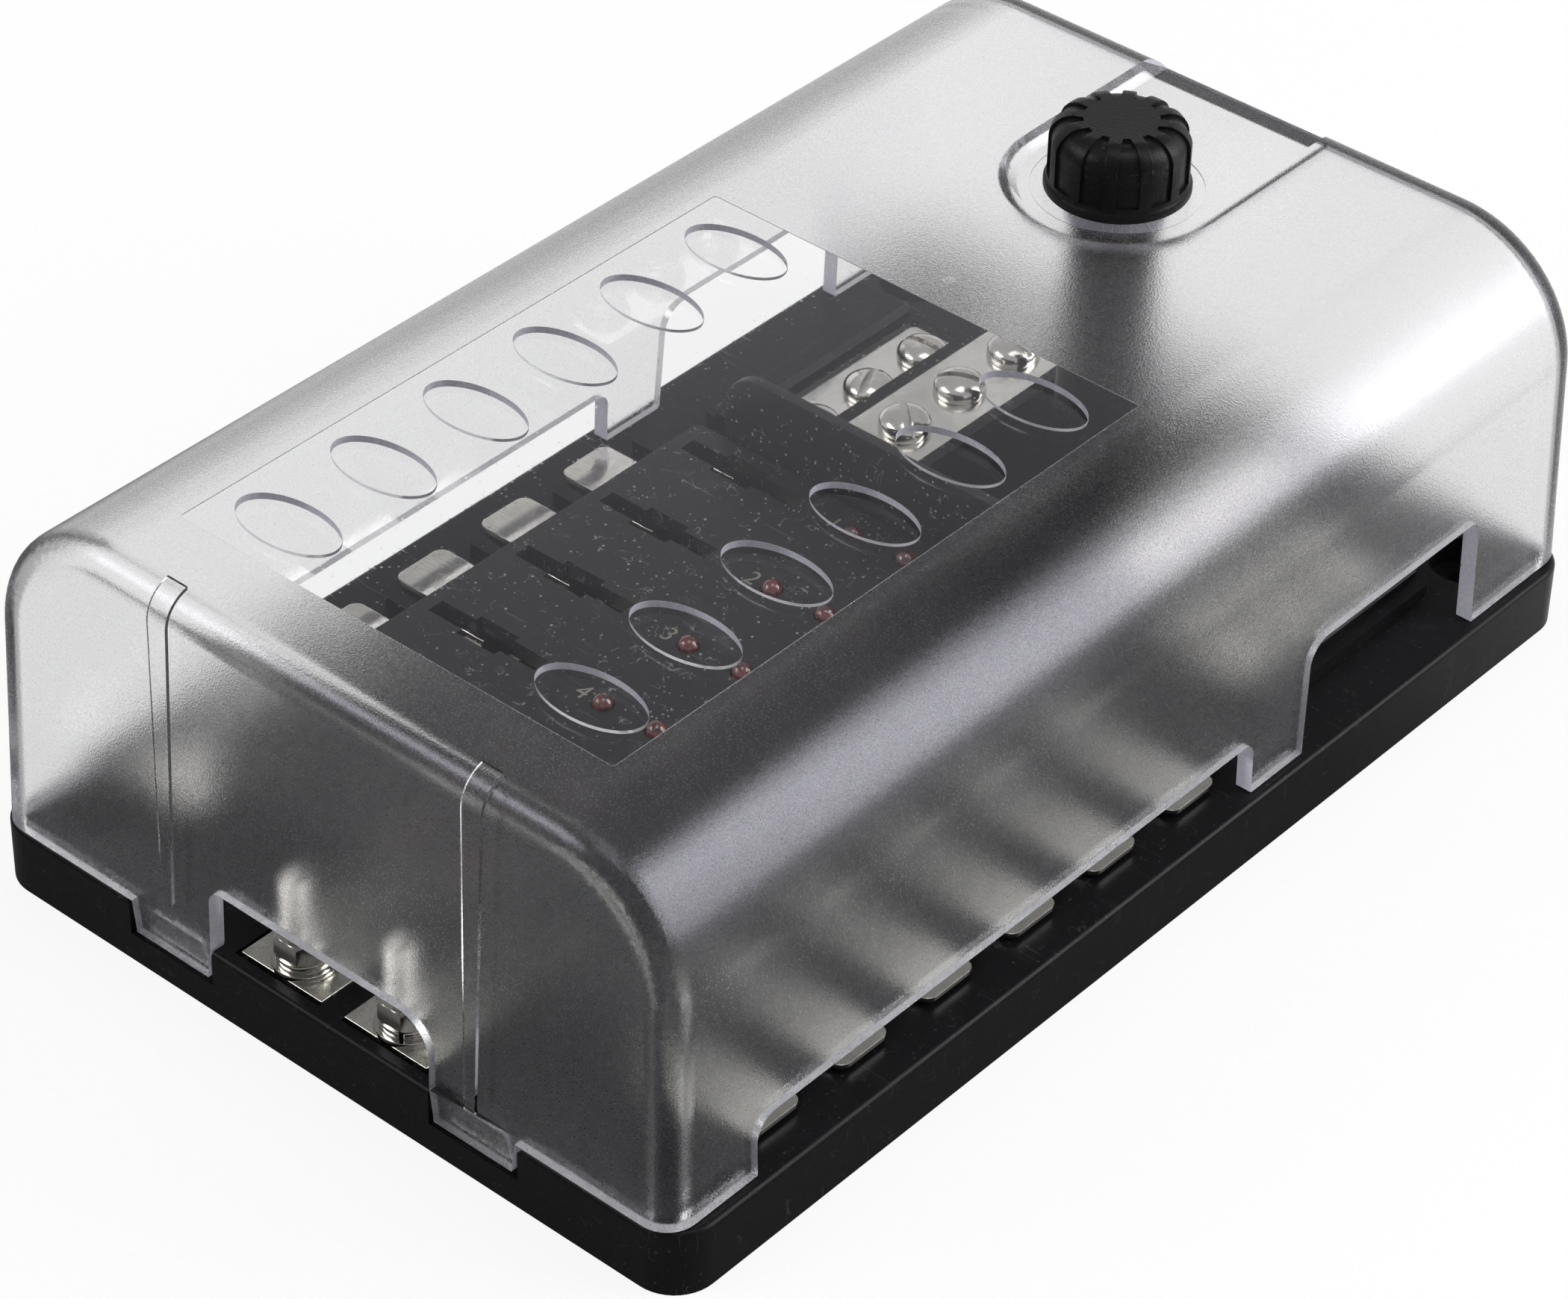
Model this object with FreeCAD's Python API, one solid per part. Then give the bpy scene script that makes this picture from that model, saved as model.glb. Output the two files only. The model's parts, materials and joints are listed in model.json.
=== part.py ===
import FreeCAD, Part
import math
import os

# Fuse box for twelve blade fuses, in millimetres.
# +Z is up, X runs across the width, Y along the length, and the origin is at
# the bottom centre of the base. The two input studs are at the -Y end.

# Circuits, and the slots that the fuses go into
circuits_per_side = 6
circuit_pitch = 16.8
slot_inner_x = 15.75
slot_length = 19.5
slot_width = 2.8
slot_waist_length = 7.0
slot_waist_width = 4.9
blade_spacing = 9.7

# Base, with its zones before, behind and beside the fuse block
front_zone = 19.05
rear_gap = 14.95
rear_zone = 19.9
side_zone = 23.1
base_height = 10.0
base_corner_r = 6.3
base_edge_r = 0.8
base_wall = 3.0
deck_thickness = 3.5
under_rib = 1.6
under_rib_pitch = 15.0
under_rib_lanes = 7
under_rib_rows = 5
under_rib_relief = 0.6
boss_wall = 2.2

# Mounting holes
mount_edge_x = 10.2
mount_edge_y = 11.5
mount_hole_r = 2.6
mount_sink_r = 5.5
mount_sink_depth = 4.0

# Fuse block
block_side_margin = 2.65
block_end_margin = 5.25
block_height = 13.7
block_wall = 1.8
block_plate = 2.5
block_corner_r = 1.5
block_edge = 0.4
block_rib = 1.4
block_spine = 1.8
block_boss_r = 3.2

# Indicator lamps and their board
lamp_x = 4.75
lamp_r = 1.55
lamp_stand = 1.4
lamp_dome_turns = (0, 35, 65)
lamp_hole_gap = 0.1
board_half_width = 9.0
board_thickness = 1.6
board_gap = 1.0
resistor_length = 3.2
resistor_width = 1.6
resistor_height = 0.6
resistor_x = 7.7

# Circuit terminals and spring clips
strip_thickness = 0.8
tab_width = 9.5
tab_edge_gap = 5.5
tab_lift = 0.7
tab_corner_r = 1.6
tab_rest_width = 7.0
tab_rest_reach = 8.1
clip_width = 5.0
clip_foot_half = 2.0
clip_foot_height = 2.0
clip_waist_gap = 0.25
clip_mouth_half = 1.5
clip_waist_share = 0.75
clip_top_gap = 0.6
passage_gap = 0.3

# Barrier ribs between the terminals
barrier_thickness = 2.4
barrier_height = 2.3
barrier_edge_gap = 8.0

# Input bars, studs and their fasteners
bar_thickness = 1.6
bar_bed_depth = 1.4
bar_bed_gap = 0.6
pad_inner_x = 2.0
pad_width = 14.4
pad_edge_gap = 2.7
feed_inner_x = 6.0
finger_width = 6.0
stud_edge_gap = 7.0
stud_free_length = 10.7
stud_head_flats = 7.0
stud_head_height = 2.6
stud_chamfer = 0.5
m4_r = 2.0
m4_pitch_r = 1.77
flat_washer_r = 4.5
flat_washer_height = 0.8
spring_washer_r = 3.8
spring_washer_height = 1.1
spring_washer_split = 0.6
spring_washer_turn = -60
washer_bore_gap = 0.2
nut_flats = 7.0
nut_height = 3.2
nut_chamfer = 0.45

# Partition behind the fuse block
partition_side_gap = 4.9
partition_height = 25.0
partition_thickness = 1.8
partition_corner_r = 6.0
partition_foot_depth = 1.5
partition_gap = 0.1

# Negative bus: on each side a low outer bar and an inner bar on a step
screws_per_bar = 3
bus_screw_pitch = 12.25
bus_screw_front = 6.6
bus_screw_back = 5.9
bus_bar_thickness = 2.4
bus_bar_corner_r = 1.0
outer_bar_width = 13.3
outer_bar_height = 1.2
inner_bar_width = 13.3
inner_bar_height = 7.6
inner_bar_shift = 2.0
platform_edge_gap = 9.8
platform_shelf = 2.3
platform_front = 2.0
platform_back = 1.6
platform_height = 1.8
platform_corner_r = 3.0
ridge_width = 5.0
ridge_height = 3.6
ridge_edge = 0.9
ridge_gap = 1.0
step_wall = 1.9
step_lip = 0.2
step_roof = 2.5
bus_screw_length = 6.0
bus_head_r = 3.9
bus_head_height = 2.7
bar_channel_width = 5.0
thread_gap = 0.04

# Block screws, driven from below
block_screw_r = 1.5
block_screw_head_r = 2.8
block_screw_head_height = 2.0
block_screw_reach = 6.5
block_screw_grip = 4.75
head_gap = 0.3

# Cover
cover_inset = 1.5
cover_wall = 2.5
cover_seat_gap = 0.2
cover_front_inset = 0.1
cover_height = 52.25
cover_draft = 1.8
cover_side_r = 20.0
cover_corner_r = 4.5
window_side_gap = 1.2
window_front_gap = 4.05
window_back_gap = 1.7
window_step = 0.1
window_corner_r = 0.5
label_half_length = 8.35
label_half_width = 4.55
label_depth = 1.0
label_x_shift = 0.2
label_y_shift = -1.2
cable_opening_front = 3.05
cable_opening_back = 1.75
cable_opening_height = 8.7
rear_opening_front = 1.0
rear_opening_back = 3.1
rear_opening_height = 17.5
rear_opening_slant = 1.0
opening_near_r = 3.5
opening_far_r = 2.0
cutout_side_gap = 3.0
cutout_height = 10.2
cutout_right_r = 5.5
cutout_left_r = 2.0
front_tab_width = 14.6
front_tab_taper = 0.7
front_tab_drop = 4.7
front_tab_gap = 0.4
catch_foot = 0.6
catch_height = 3.4
catch_depth = 0.7
catch_top_half = 4.5
catch_bottom_half = 5.6
front_rib_foot_half = 0.9
front_rib_roof_half = 1.75
front_rib_proud = 0.5
front_rib_reach = 5.2
front_rib_foot = 1.4

# Knob recess in the roof
knob_edge_gap = 31.5
recess_depth = 2.25
recess_roof_r = 15.5
recess_floor_r = 13.9
recess_side_wall = 1.0
spot_r = 12.2
spot_depth = 0.2
cover_boss_r = 7.0
cover_boss_height = 3.5
cover_boss_hole_r = 2.8

# Knob, its screw and ring
knob_gap = 0.3
knob_height = 10.6
knob_skirt_r = 10.35
knob_skirt_height = 1.6
knob_body_r = 9.9
knob_shoulder_r = 3.6
knob_face_r = 5.3
knob_ribs = 12
knob_rib_width = 1.8
knob_panel_depth = 0.45
knob_panel_foot = 1.9
knob_screw_r = 2.5
knob_screw_grip = 7.5
knob_screw_tip = 0.75
knob_screw_head_r = 4.2
knob_screw_head_height = 3.0
ring_r = 4.5
ring_height = 0.8
ring_gap = 0.3

# Post under the knob
post_gap = 2.5
post_foot_r = 7.5
post_head_r = 6.2
post_core_r = 3.5
post_plug = 3.5
gusset_thickness = 1.6
gusset_gap = 1.6
gusset_height = 20.0
gusset_toe = 1.0
insert_r = 3.6
insert_length = 12.0
insert_bore_gap = 0.05

# How far a cut runs past the face it opens, and a piece into the one it joins
cut_over = 1.0
join_over = 0.5

# Worked out from the sizes above
block_half_width = slot_inner_x + slot_length + block_side_margin
block_length = (circuits_per_side - 1) * circuit_pitch + 2 * block_end_margin
bus_bar_length = bus_screw_front + (screws_per_bar - 1) * bus_screw_pitch + bus_screw_back
platform_length = platform_front + bus_bar_length + platform_back
half_width = block_half_width + side_zone
half_length = (front_zone + block_length + rear_gap + platform_length + rear_zone) / 2

block_front_y = -half_length + front_zone
block_back_y = block_front_y + block_length
platform_front_y = block_back_y + rear_gap
platform_back_y = platform_front_y + platform_length
circuit_y = [block_back_y - block_end_margin - circuit_pitch * i for i in range(circuits_per_side)]
partition_y = (block_back_y + partition_gap, block_back_y + partition_gap + partition_thickness)
pad_front_y = -half_length + pad_edge_gap
stud_y = -half_length + stud_edge_gap
knob_y = half_length - knob_edge_gap
outer_bar_y = (platform_front_y + platform_front, platform_back_y - platform_back)
inner_bar_y = (outer_bar_y[0] + inner_bar_shift, outer_bar_y[1] + inner_bar_shift)
inside_y = (block_front_y + block_wall, block_back_y - block_wall)
block_screw_y = [inside_y[0] + block_boss_r, (inside_y[0] + inside_y[1]) / 2, inside_y[1] - block_boss_r]

slot_x = slot_inner_x + slot_length / 2
clip_inner_x = slot_x - blade_spacing / 2
clip_outer_x = slot_x + blade_spacing / 2
tab_end_x = half_width - tab_edge_gap
barrier_end_x = half_width - barrier_edge_gap
pad_outer_x = pad_inner_x + pad_width
stud_x = pad_inner_x + pad_width / 2
platform_outer_x = half_width - platform_edge_gap
ridge_outer_x = platform_outer_x - platform_shelf
outer_bar_outer_x = ridge_outer_x - ridge_width - ridge_gap
outer_bar_x = (outer_bar_outer_x - outer_bar_width, outer_bar_outer_x)
inner_bar_outer_x = outer_bar_x[0] - step_wall
inner_bar_x = (inner_bar_outer_x - inner_bar_width, inner_bar_outer_x)
step_x = (inner_bar_x[0] - step_wall, outer_bar_x[0])
partition_half_width = block_half_width - partition_side_gap
cutout_half_width = pad_outer_x + cutout_side_gap
front_tab_outer_x = cutout_half_width + front_tab_width
front_tab_x = cutout_half_width + front_tab_width / 2
cover_half_width = half_width - cover_inset
cover_half_length = half_length - cover_front_inset

deck_z = base_height
under_z = deck_z - deck_thickness
block_top_z = deck_z + block_height
plate_under_z = block_top_z - block_plate
board_top_z = plate_under_z - board_gap
board_z = board_top_z - board_thickness
strip_z = deck_z + tab_lift
strip_top_z = strip_z + strip_thickness
bar_z = deck_z - bar_bed_depth
bar_top_z = bar_z + bar_thickness
flat_washer_top_z = bar_top_z + flat_washer_height
spring_washer_top_z = flat_washer_top_z + spring_washer_height
nut_top_z = spring_washer_top_z + nut_height
stud_top_z = nut_top_z + stud_free_length
outer_bar_top_z = deck_z + outer_bar_height
inner_bar_top_z = deck_z + inner_bar_height
cover_rim_z = deck_z + cover_seat_gap
cover_roof_z = deck_z + cover_height
recess_floor_z = cover_roof_z - recess_depth
cover_boss_z = recess_floor_z - cover_wall - cover_boss_height
knob_under_z = recess_floor_z + knob_gap
knob_top_z = knob_under_z + knob_height
post_top_z = cover_boss_z - post_gap
insert_z = post_top_z - insert_length
knob_screw_bottom_z = post_top_z - knob_screw_grip

V = FreeCAD.Vector
UP = V(0, 0, 1)
diagonal = math.sqrt(0.5)


def block(x, y, z):
    """Box between two values along each axis."""
    low = V(min(x), min(y), min(z))
    return Part.makeBox(abs(x[1] - x[0]), abs(y[1] - y[0]), abs(z[1] - z[0]), low)


def disc(x, y, z0, z1, r):
    return Part.makeCylinder(r, z1 - z0, V(x, y, z0), UP)


def cone(x, y, z0, z1, r0, r1):
    return Part.makeCone(r0, r1, z1 - z0, V(x, y, z0), UP)


def hexagon(x, y, z0, z1, flats):
    """Hexagonal prism with two flats facing along Y."""
    r = flats / math.sqrt(3)
    turns = [math.radians(60 * k) for k in range(7)]
    corners = [V(x + r * math.cos(t), y + r * math.sin(t), z0) for t in turns]
    return Part.Face(Part.makePolygon(corners)).extrude(V(0, 0, z1 - z0))


def outline(points, place, sweep):
    """Closed polygon of (a, b) pairs, set in a plane by place and extruded."""
    corners = [place(a, b) for a, b in points]
    return Part.Face(Part.makePolygon(corners + corners[:1])).extrude(sweep)


def slab_across(points, x0, x1):
    """Outline in (y, z), extruded along X."""
    return outline(points, lambda y, z: V(x0, y, z), V(x1 - x0, 0, 0))


def slab_along(points, y0, y1):
    """Outline in (x, z), extruded along Y."""
    return outline(points, lambda x, z: V(x, y0, z), V(0, y1 - y0, 0))


def edges_along(shape, axis, test=lambda middle: True):
    """Straight edges that run along an axis and whose middle passes a test."""
    found = []
    for edge in shape.Edges:
        if edge.Curve.TypeId != "Part::GeomLine":
            continue
        run = edge.Vertexes[-1].Point.sub(edge.Vertexes[0].Point)
        if run.Length > 1e-6 and abs(abs(run.dot(axis)) - run.Length) < 1e-6:
            if test(edge.CenterOfMass):
                found.append(edge)
    return found


def edges_at(shape, z):
    """Edges that lie in the level plane at height z."""
    return [e for e in shape.Edges if abs(e.BoundBox.ZMin - z) < 1e-6 and abs(e.BoundBox.ZMax - z) < 1e-6]


def rounded_box(x, y, z, r):
    """Box whose upright edges are rounded."""
    body = block(x, y, z)
    return body.makeFillet(r, edges_along(body, UP))


def both_sides(shape):
    """The shape and its mirror image across the middle plane."""
    return [shape, shape.mirror(V(0, 0, 0), V(1, 0, 0))]


def joined(shapes):
    return shapes[0].multiFuse(shapes[1:]).removeSplitter()


def around(middle, half):
    return (middle - half, middle + half)


def save(name, shape):
    shape.exportStep("parts/" + name + ".step")


# Base

def under_ribs():
    """Stiffening ribs under the deck, lengthwise and crosswise."""
    z = (under_rib_relief, under_z + join_over)
    inner_x = half_width - base_wall / 2
    inner_y = half_length - base_wall / 2
    ribs = []
    for lane in range(under_rib_lanes):
        x = (lane - (under_rib_lanes - 1) / 2) * under_rib_pitch
        ribs.append(block(around(x, under_rib / 2), (-inner_y, inner_y), z))
    for row in range(under_rib_rows):
        y = (row - (under_rib_rows - 1) / 2) * 2 * half_length / (under_rib_rows + 1)
        ribs.append(block((-inner_x, inner_x), around(y, under_rib / 2), z))
    return ribs


def base_shell():
    """Open-bottomed tray with a rounded top edge."""
    tray = rounded_box((-half_width, half_width), (-half_length, half_length),
                       (0, base_height), base_corner_r)
    tray = tray.makeFillet(base_edge_r, edges_at(tray, base_height))
    inner_x = half_width - base_wall
    inner_y = half_length - base_wall
    hollow = rounded_box((-inner_x, inner_x), (-inner_y, inner_y), (-cut_over, under_z),
                         base_corner_r - base_wall)
    return tray.cut(hollow)


def mount_places():
    x = half_width - mount_edge_x
    y = half_length - mount_edge_y
    return [(x, y), (-x, y), (x, -y), (-x, -y)]


def tab_notch():
    """Front notch for a cover tab and its catch, drawn for the right."""
    bottom_z = deck_z - front_tab_drop - 2 * front_tab_gap
    top_z = deck_z + cut_over
    inner = cutout_half_width - front_tab_gap / 2
    outer = front_tab_outer_x + front_tab_gap
    lead = base_edge_r
    back_y = -cover_half_length + cover_wall
    notch = slab_along([(inner, bottom_z), (outer, bottom_z), (outer, deck_z - lead), (outer + lead, deck_z),
                        (outer + lead, top_z), (inner, top_z)],
                       -half_length - cut_over, back_y + front_tab_gap)
    catch = block(around(front_tab_x, catch_bottom_half + front_tab_gap),
                  (-half_length, back_y + catch_depth + front_tab_gap), (bottom_z, top_z))
    return notch.fuse(catch)


def bus_platform():
    """Stepped platform for the two bars of the right side."""
    platform_y = (platform_front_y, platform_back_y)
    deck = rounded_box((step_x[0], platform_outer_x), platform_y,
                       (under_z, deck_z + platform_height), platform_corner_r)
    ridge_z = deck_z + ridge_height
    ridge = rounded_box((ridge_outer_x - ridge_width, ridge_outer_x), platform_y, (under_z, ridge_z),
                        ridge_width * 0.4)
    ridge = ridge.makeChamfer(ridge_edge, edges_at(ridge, ridge_z))
    step = rounded_box(step_x, (inner_bar_y[0] - step_wall, inner_bar_y[1] + step_wall),
                       (under_z, inner_bar_top_z + step_lip), bus_bar_corner_r + step_wall)
    return joined([deck, ridge, step])


def bar_seat(bar_x, bar_y, bar_top_z):
    """Bed of one bar, and the channel under it for the tips of its screws."""
    seat_z = bar_top_z - bus_bar_thickness
    bed = rounded_box(bar_x, bar_y, (seat_z, inner_bar_top_z + ridge_height), bus_bar_corner_r)
    places = bar_screw_places(bar_x, bar_y)
    channel_y = (places[0][1] - bar_channel_width / 2, places[-1][1] + bar_channel_width / 2)
    channel = block(around(places[0][0], bar_channel_width / 2), channel_y,
                    (under_z - cut_over, seat_z + cut_over))
    return [bed, channel]


def bus_seats():
    """Cuts for the two bars of the right side, and the hollow under the step."""
    hollow = block(inner_bar_x, inner_bar_y, (-cut_over, inner_bar_top_z - bus_bar_thickness - step_roof))
    return bar_seat(outer_bar_x, outer_bar_y, outer_bar_top_z) + bar_seat(
        inner_bar_x, inner_bar_y, inner_bar_top_z) + [hollow]


def bar_screw_places(bar_x, bar_y):
    x = (bar_x[0] + bar_x[1]) / 2
    return [(x, bar_y[0] + bus_screw_front + bus_screw_pitch * k) for k in range(screws_per_bar)]


def knob_post():
    """Tapered post with four gussets, open below, bored above for its bush."""
    reach = step_x[0] - gusset_gap
    foot_z = deck_z - join_over
    side = [(0, foot_z), (reach, foot_z), (reach, deck_z + gusset_toe),
            (post_head_r, deck_z + gusset_height), (0, deck_z + gusset_height)]
    gusset = slab_across([(knob_y + y, z) for y, z in side], -gusset_thickness / 2, gusset_thickness / 2)
    gussets = [gusset.rotated(V(0, knob_y, 0), UP, 90 * k) for k in range(4)]
    post = joined([cone(0, knob_y, under_z, post_top_z, post_foot_r, post_head_r)] + gussets)
    return post.cut([disc(0, knob_y, 0, insert_z - post_plug, post_core_r),
                     disc(0, knob_y, insert_z, post_top_z + cut_over, insert_r)])


def barrier(y):
    """Low rib with a round outer end, between two terminals of the right side."""
    end_r = barrier_thickness / 2
    z = (deck_z - join_over, deck_z + barrier_height)
    return block((block_half_width, barrier_end_x - end_r), around(y, end_r), z).fuse(
        disc(barrier_end_x - end_r, y, z[0], z[1], end_r))


def input_bed():
    """Sunk bed for the right input bar."""
    gap = bar_bed_gap
    z = (bar_z, deck_z + cut_over)
    outer_x = pad_outer_x + gap
    pad_back_y = pad_front_y + pad_width
    pad = block((pad_inner_x, outer_x), (pad_front_y - gap, pad_back_y + gap), z)
    run = block((feed_inner_x - gap, outer_x), (pad_back_y, inside_y[1]), z)
    fingers = block((feed_inner_x, clip_inner_x + clip_width / 2 + gap), inside_y, z)
    return pad.fuse([run, fingers])


def make_base():
    added = under_ribs() + both_sides(bus_platform())
    cuts = both_sides(tab_notch()) + both_sides(input_bed())
    top_z = deck_z + cut_over
    for x, y in mount_places():
        added.append(disc(x, y, 0, deck_z - join_over, mount_sink_r + boss_wall))
        cuts.append(disc(x, y, -cut_over, top_z, mount_hole_r))
        cuts.append(disc(x, y, deck_z - mount_sink_depth, top_z, mount_sink_r))
    for y in block_screw_y:
        head_r = block_screw_head_r + head_gap
        added.append(disc(0, y, under_rib_relief, deck_z - join_over, head_r + boss_wall / 2))
        cuts.append(disc(0, y, -cut_over, top_z, block_screw_r + head_gap))
        cuts.append(disc(0, y, -cut_over, deck_z - block_screw_grip, head_r))
    for k in range(circuits_per_side + 1):
        added += both_sides(barrier(circuit_y[0] + circuit_pitch * (0.5 - k)))
    for y in circuit_y:
        rest = block((block_half_width, block_half_width + tab_rest_reach), around(y, tab_rest_width / 2),
                     (deck_z - join_over, strip_z))
        added += both_sides(rest)
    backing = block((cutout_half_width - boss_wall, front_tab_outer_x + boss_wall),
                    (-half_length + base_wall / 2, -half_length + 2 * base_wall), (0, deck_z - join_over))
    added += both_sides(backing)
    for seat in bus_seats():
        cuts += both_sides(seat)
    cuts += both_sides(disc(stud_x, stud_y, 0, top_z, m4_r + washer_bore_gap))
    cuts.append(block((-partition_half_width - partition_gap, partition_half_width + partition_gap),
                      partition_y, (deck_z - partition_foot_depth, top_z)))
    cuts.append(disc(0, knob_y, -cut_over, under_z, post_core_r))
    tray = joined([base_shell()] + added).cut(cuts)
    bore = disc(0, knob_y, under_z - cut_over, top_z, post_core_r)
    return tray.cut(bore).fuse(knob_post()).removeSplitter()


# Fuse block

def slot_cut(x, y):
    """Long narrow slot for the blades with a wider waist for the fuse's body."""
    z = (plate_under_z - cut_over, block_top_z + cut_over)
    ends = block(around(x, slot_length / 2), around(y, slot_width / 2), z)
    waist = block(around(x, slot_waist_length / 2), around(y, slot_waist_width / 2), z)
    return ends.fuse(waist)


def make_fuse_block():
    body = rounded_box((-block_half_width, block_half_width), (block_front_y, block_back_y),
                       (deck_z, block_top_z), block_corner_r)
    body = body.makeChamfer(block_edge, edges_at(body, block_top_z))
    inner_x = block_half_width - block_wall
    body = body.cut(block((-inner_x, inner_x), inside_y, (deck_z - cut_over, plate_under_z)))
    added = [block((-block_spine / 2, block_spine / 2), (inside_y[0] - join_over, inside_y[1] + join_over),
                   (deck_z, board_z))]
    added += [disc(0, y, deck_z, board_z, block_boss_r) for y in block_screw_y]
    rib_z = (bar_top_z + strip_thickness + 2 * passage_gap, plate_under_z + join_over)
    for y in circuit_y[1:]:
        added += both_sides(block((slot_inner_x, inner_x + join_over),
                                  around(y + circuit_pitch / 2, block_rib / 2), rib_z))
    body = joined([body] + added)
    cuts = []
    for y in circuit_y:
        cuts += both_sides(slot_cut(slot_x, y))
        cuts += both_sides(disc(lamp_x, y, plate_under_z - cut_over, block_top_z + cut_over,
                                lamp_r + lamp_hole_gap))
        cuts += both_sides(block((inner_x - cut_over, block_half_width + cut_over),
                                 around(y, tab_width / 2 + passage_gap),
                                 (deck_z - cut_over, strip_top_z + passage_gap)))
    cuts += both_sides(block((feed_inner_x - passage_gap, pad_outer_x + passage_gap),
                             (block_front_y - cut_over, inside_y[0] + cut_over),
                             (deck_z - cut_over, bar_top_z + passage_gap)))
    cuts += [disc(0, y, deck_z - cut_over, deck_z + block_screw_reach + cut_over, block_screw_r)
             for y in block_screw_y]
    return body.cut(cuts)


def make_partition():
    plate = block((-partition_half_width, partition_half_width), partition_y,
                  (deck_z - partition_foot_depth, deck_z + partition_height))
    upper = edges_along(plate, V(0, 1, 0), lambda middle: middle.z > deck_z)
    return plate.makeFillet(partition_corner_r, upper)


# Terminals, clips and feed bars

def clip_leaf(foot_z, side):
    """Spring leaf in (y, z) about y = 0: upright foot, pinched waist, open mouth."""
    top_z = plate_under_z - clip_top_gap
    waist_z = foot_z + (top_z - foot_z) * clip_waist_share
    line = [(clip_foot_half, foot_z), (clip_foot_half, foot_z + clip_foot_height),
            (clip_waist_gap, waist_z), (clip_mouth_half, top_z)]
    outer = [(y + strip_thickness, z) for y, z in reversed(line)]
    return [(side * y, z) for y, z in line + outer]


def clip_leaves(x, y, foot_z):
    """Both leaves of a clip that stands on a strip."""
    leaves = []
    for side in (-1, 1):
        points = [(y + dy, z) for dy, z in clip_leaf(foot_z, side)]
        leaves.append(slab_across(points, x - clip_width / 2, x + clip_width / 2))
    return leaves


def make_terminal(y):
    """Flat strip with a spade tab outside and a clip inside, for the right side."""
    z = (strip_z, strip_top_z)
    neck_x = block_half_width + cut_over
    tab = block((neck_x, tab_end_x), around(y, tab_width / 2), z)
    tab = tab.makeFillet(tab_corner_r, edges_along(tab, UP, lambda middle: middle.x > neck_x + tab_corner_r))
    strip = block((clip_outer_x - clip_width / 2, neck_x), around(y, clip_foot_half + strip_thickness), z)
    return joined([tab, strip] + clip_leaves(clip_outer_x, y, strip_top_z))


def make_feed_clip(y):
    """Feed-side clip on the right feed bar."""
    foot = block(around(clip_inner_x, clip_width / 2), around(y, clip_foot_half + strip_thickness),
                 (bar_top_z, bar_top_z + strip_thickness))
    return joined([foot] + clip_leaves(clip_inner_x, y, bar_top_z + strip_thickness))


def make_input_bar():
    """Plate under the right stud and the feed bar behind it."""
    z = (bar_z, bar_top_z)
    pad_back_y = pad_front_y + pad_width
    pad = block((pad_inner_x, pad_outer_x), (pad_front_y, pad_back_y), z)
    run = block((feed_inner_x, pad_outer_x), (pad_back_y - join_over, circuit_y[0] + finger_width / 2), z)
    fingers = [block((pad_outer_x - join_over, clip_inner_x + clip_width / 2),
                     around(y, finger_width / 2), z) for y in circuit_y]
    bar = joined([pad, run] + fingers)
    return bar.cut(disc(stud_x, stud_y, bar_z - cut_over, deck_z + cut_over, m4_r + washer_bore_gap))


# Studs and fasteners

def make_stud():
    """Right stud: head under the deck, thread at its outer size above the nut."""
    tip_z = stud_top_z - stud_chamfer
    return joined([hexagon(stud_x, stud_y, under_z - stud_head_height, under_z, stud_head_flats),
                   disc(stud_x, stud_y, under_z, nut_top_z, m4_pitch_r),
                   disc(stud_x, stud_y, nut_top_z, tip_z, m4_r),
                   cone(stud_x, stud_y, tip_z, stud_top_z, m4_r, m4_r - stud_chamfer)])


def make_flat_washer():
    ring = disc(stud_x, stud_y, bar_top_z, flat_washer_top_z, flat_washer_r)
    return ring.cut(disc(stud_x, stud_y, bar_z, spring_washer_top_z, m4_r + washer_bore_gap))


def make_spring_washer():
    """Split ring with one narrow gap."""
    ring = disc(stud_x, stud_y, flat_washer_top_z, spring_washer_top_z, spring_washer_r)
    split = block((stud_x, stud_x + spring_washer_r + cut_over), around(stud_y, spring_washer_split / 2),
                  (bar_z, nut_top_z))
    return ring.cut([disc(stud_x, stud_y, bar_z, nut_top_z, m4_r + washer_bore_gap),
                     split.rotated(V(stud_x, stud_y, 0), UP, spring_washer_turn)])


def make_nut():
    """Hexagonal nut with both faces chamfered to a round."""
    r = nut_flats / math.sqrt(3)
    z = (spring_washer_top_z, spring_washer_top_z + nut_chamfer, nut_top_z - nut_chamfer, nut_top_z)
    barrel = joined([cone(stud_x, stud_y, z[0], z[1], nut_flats / 2, r),
                     disc(stud_x, stud_y, z[1], z[2], r),
                     cone(stud_x, stud_y, z[2], z[3], r, nut_flats / 2)])
    nut = hexagon(stud_x, stud_y, z[0], z[3], nut_flats).common(barrel)
    return nut.cut(disc(stud_x, stud_y, bar_z, stud_top_z, m4_pitch_r + thread_gap))


def make_bus_bar(bar_x, bar_y, top_z):
    bottom_z = top_z - bus_bar_thickness
    bar = rounded_box(bar_x, bar_y, (bottom_z, top_z), bus_bar_corner_r)
    return bar.cut([disc(x, y, bottom_z - cut_over, top_z + cut_over, m4_r + thread_gap)
                    for x, y in bar_screw_places(bar_x, bar_y)])


def make_bus_screws(bar_x, bar_y, top_z):
    """The screws of one bar, their heads on its top."""
    return [disc(x, y, top_z - bus_screw_length, top_z, m4_r).fuse(
        disc(x, y, top_z, top_z + bus_head_height, bus_head_r)).removeSplitter()
        for x, y in bar_screw_places(bar_x, bar_y)]


def make_block_screw(y):
    """Screw through the deck into a boss of the fuse block."""
    seat_z = deck_z - block_screw_grip
    return joined([disc(0, y, seat_z - block_screw_head_height, seat_z, block_screw_head_r),
                   disc(0, y, seat_z, deck_z + block_screw_reach, block_screw_r)])


# Lamps and their board

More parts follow.
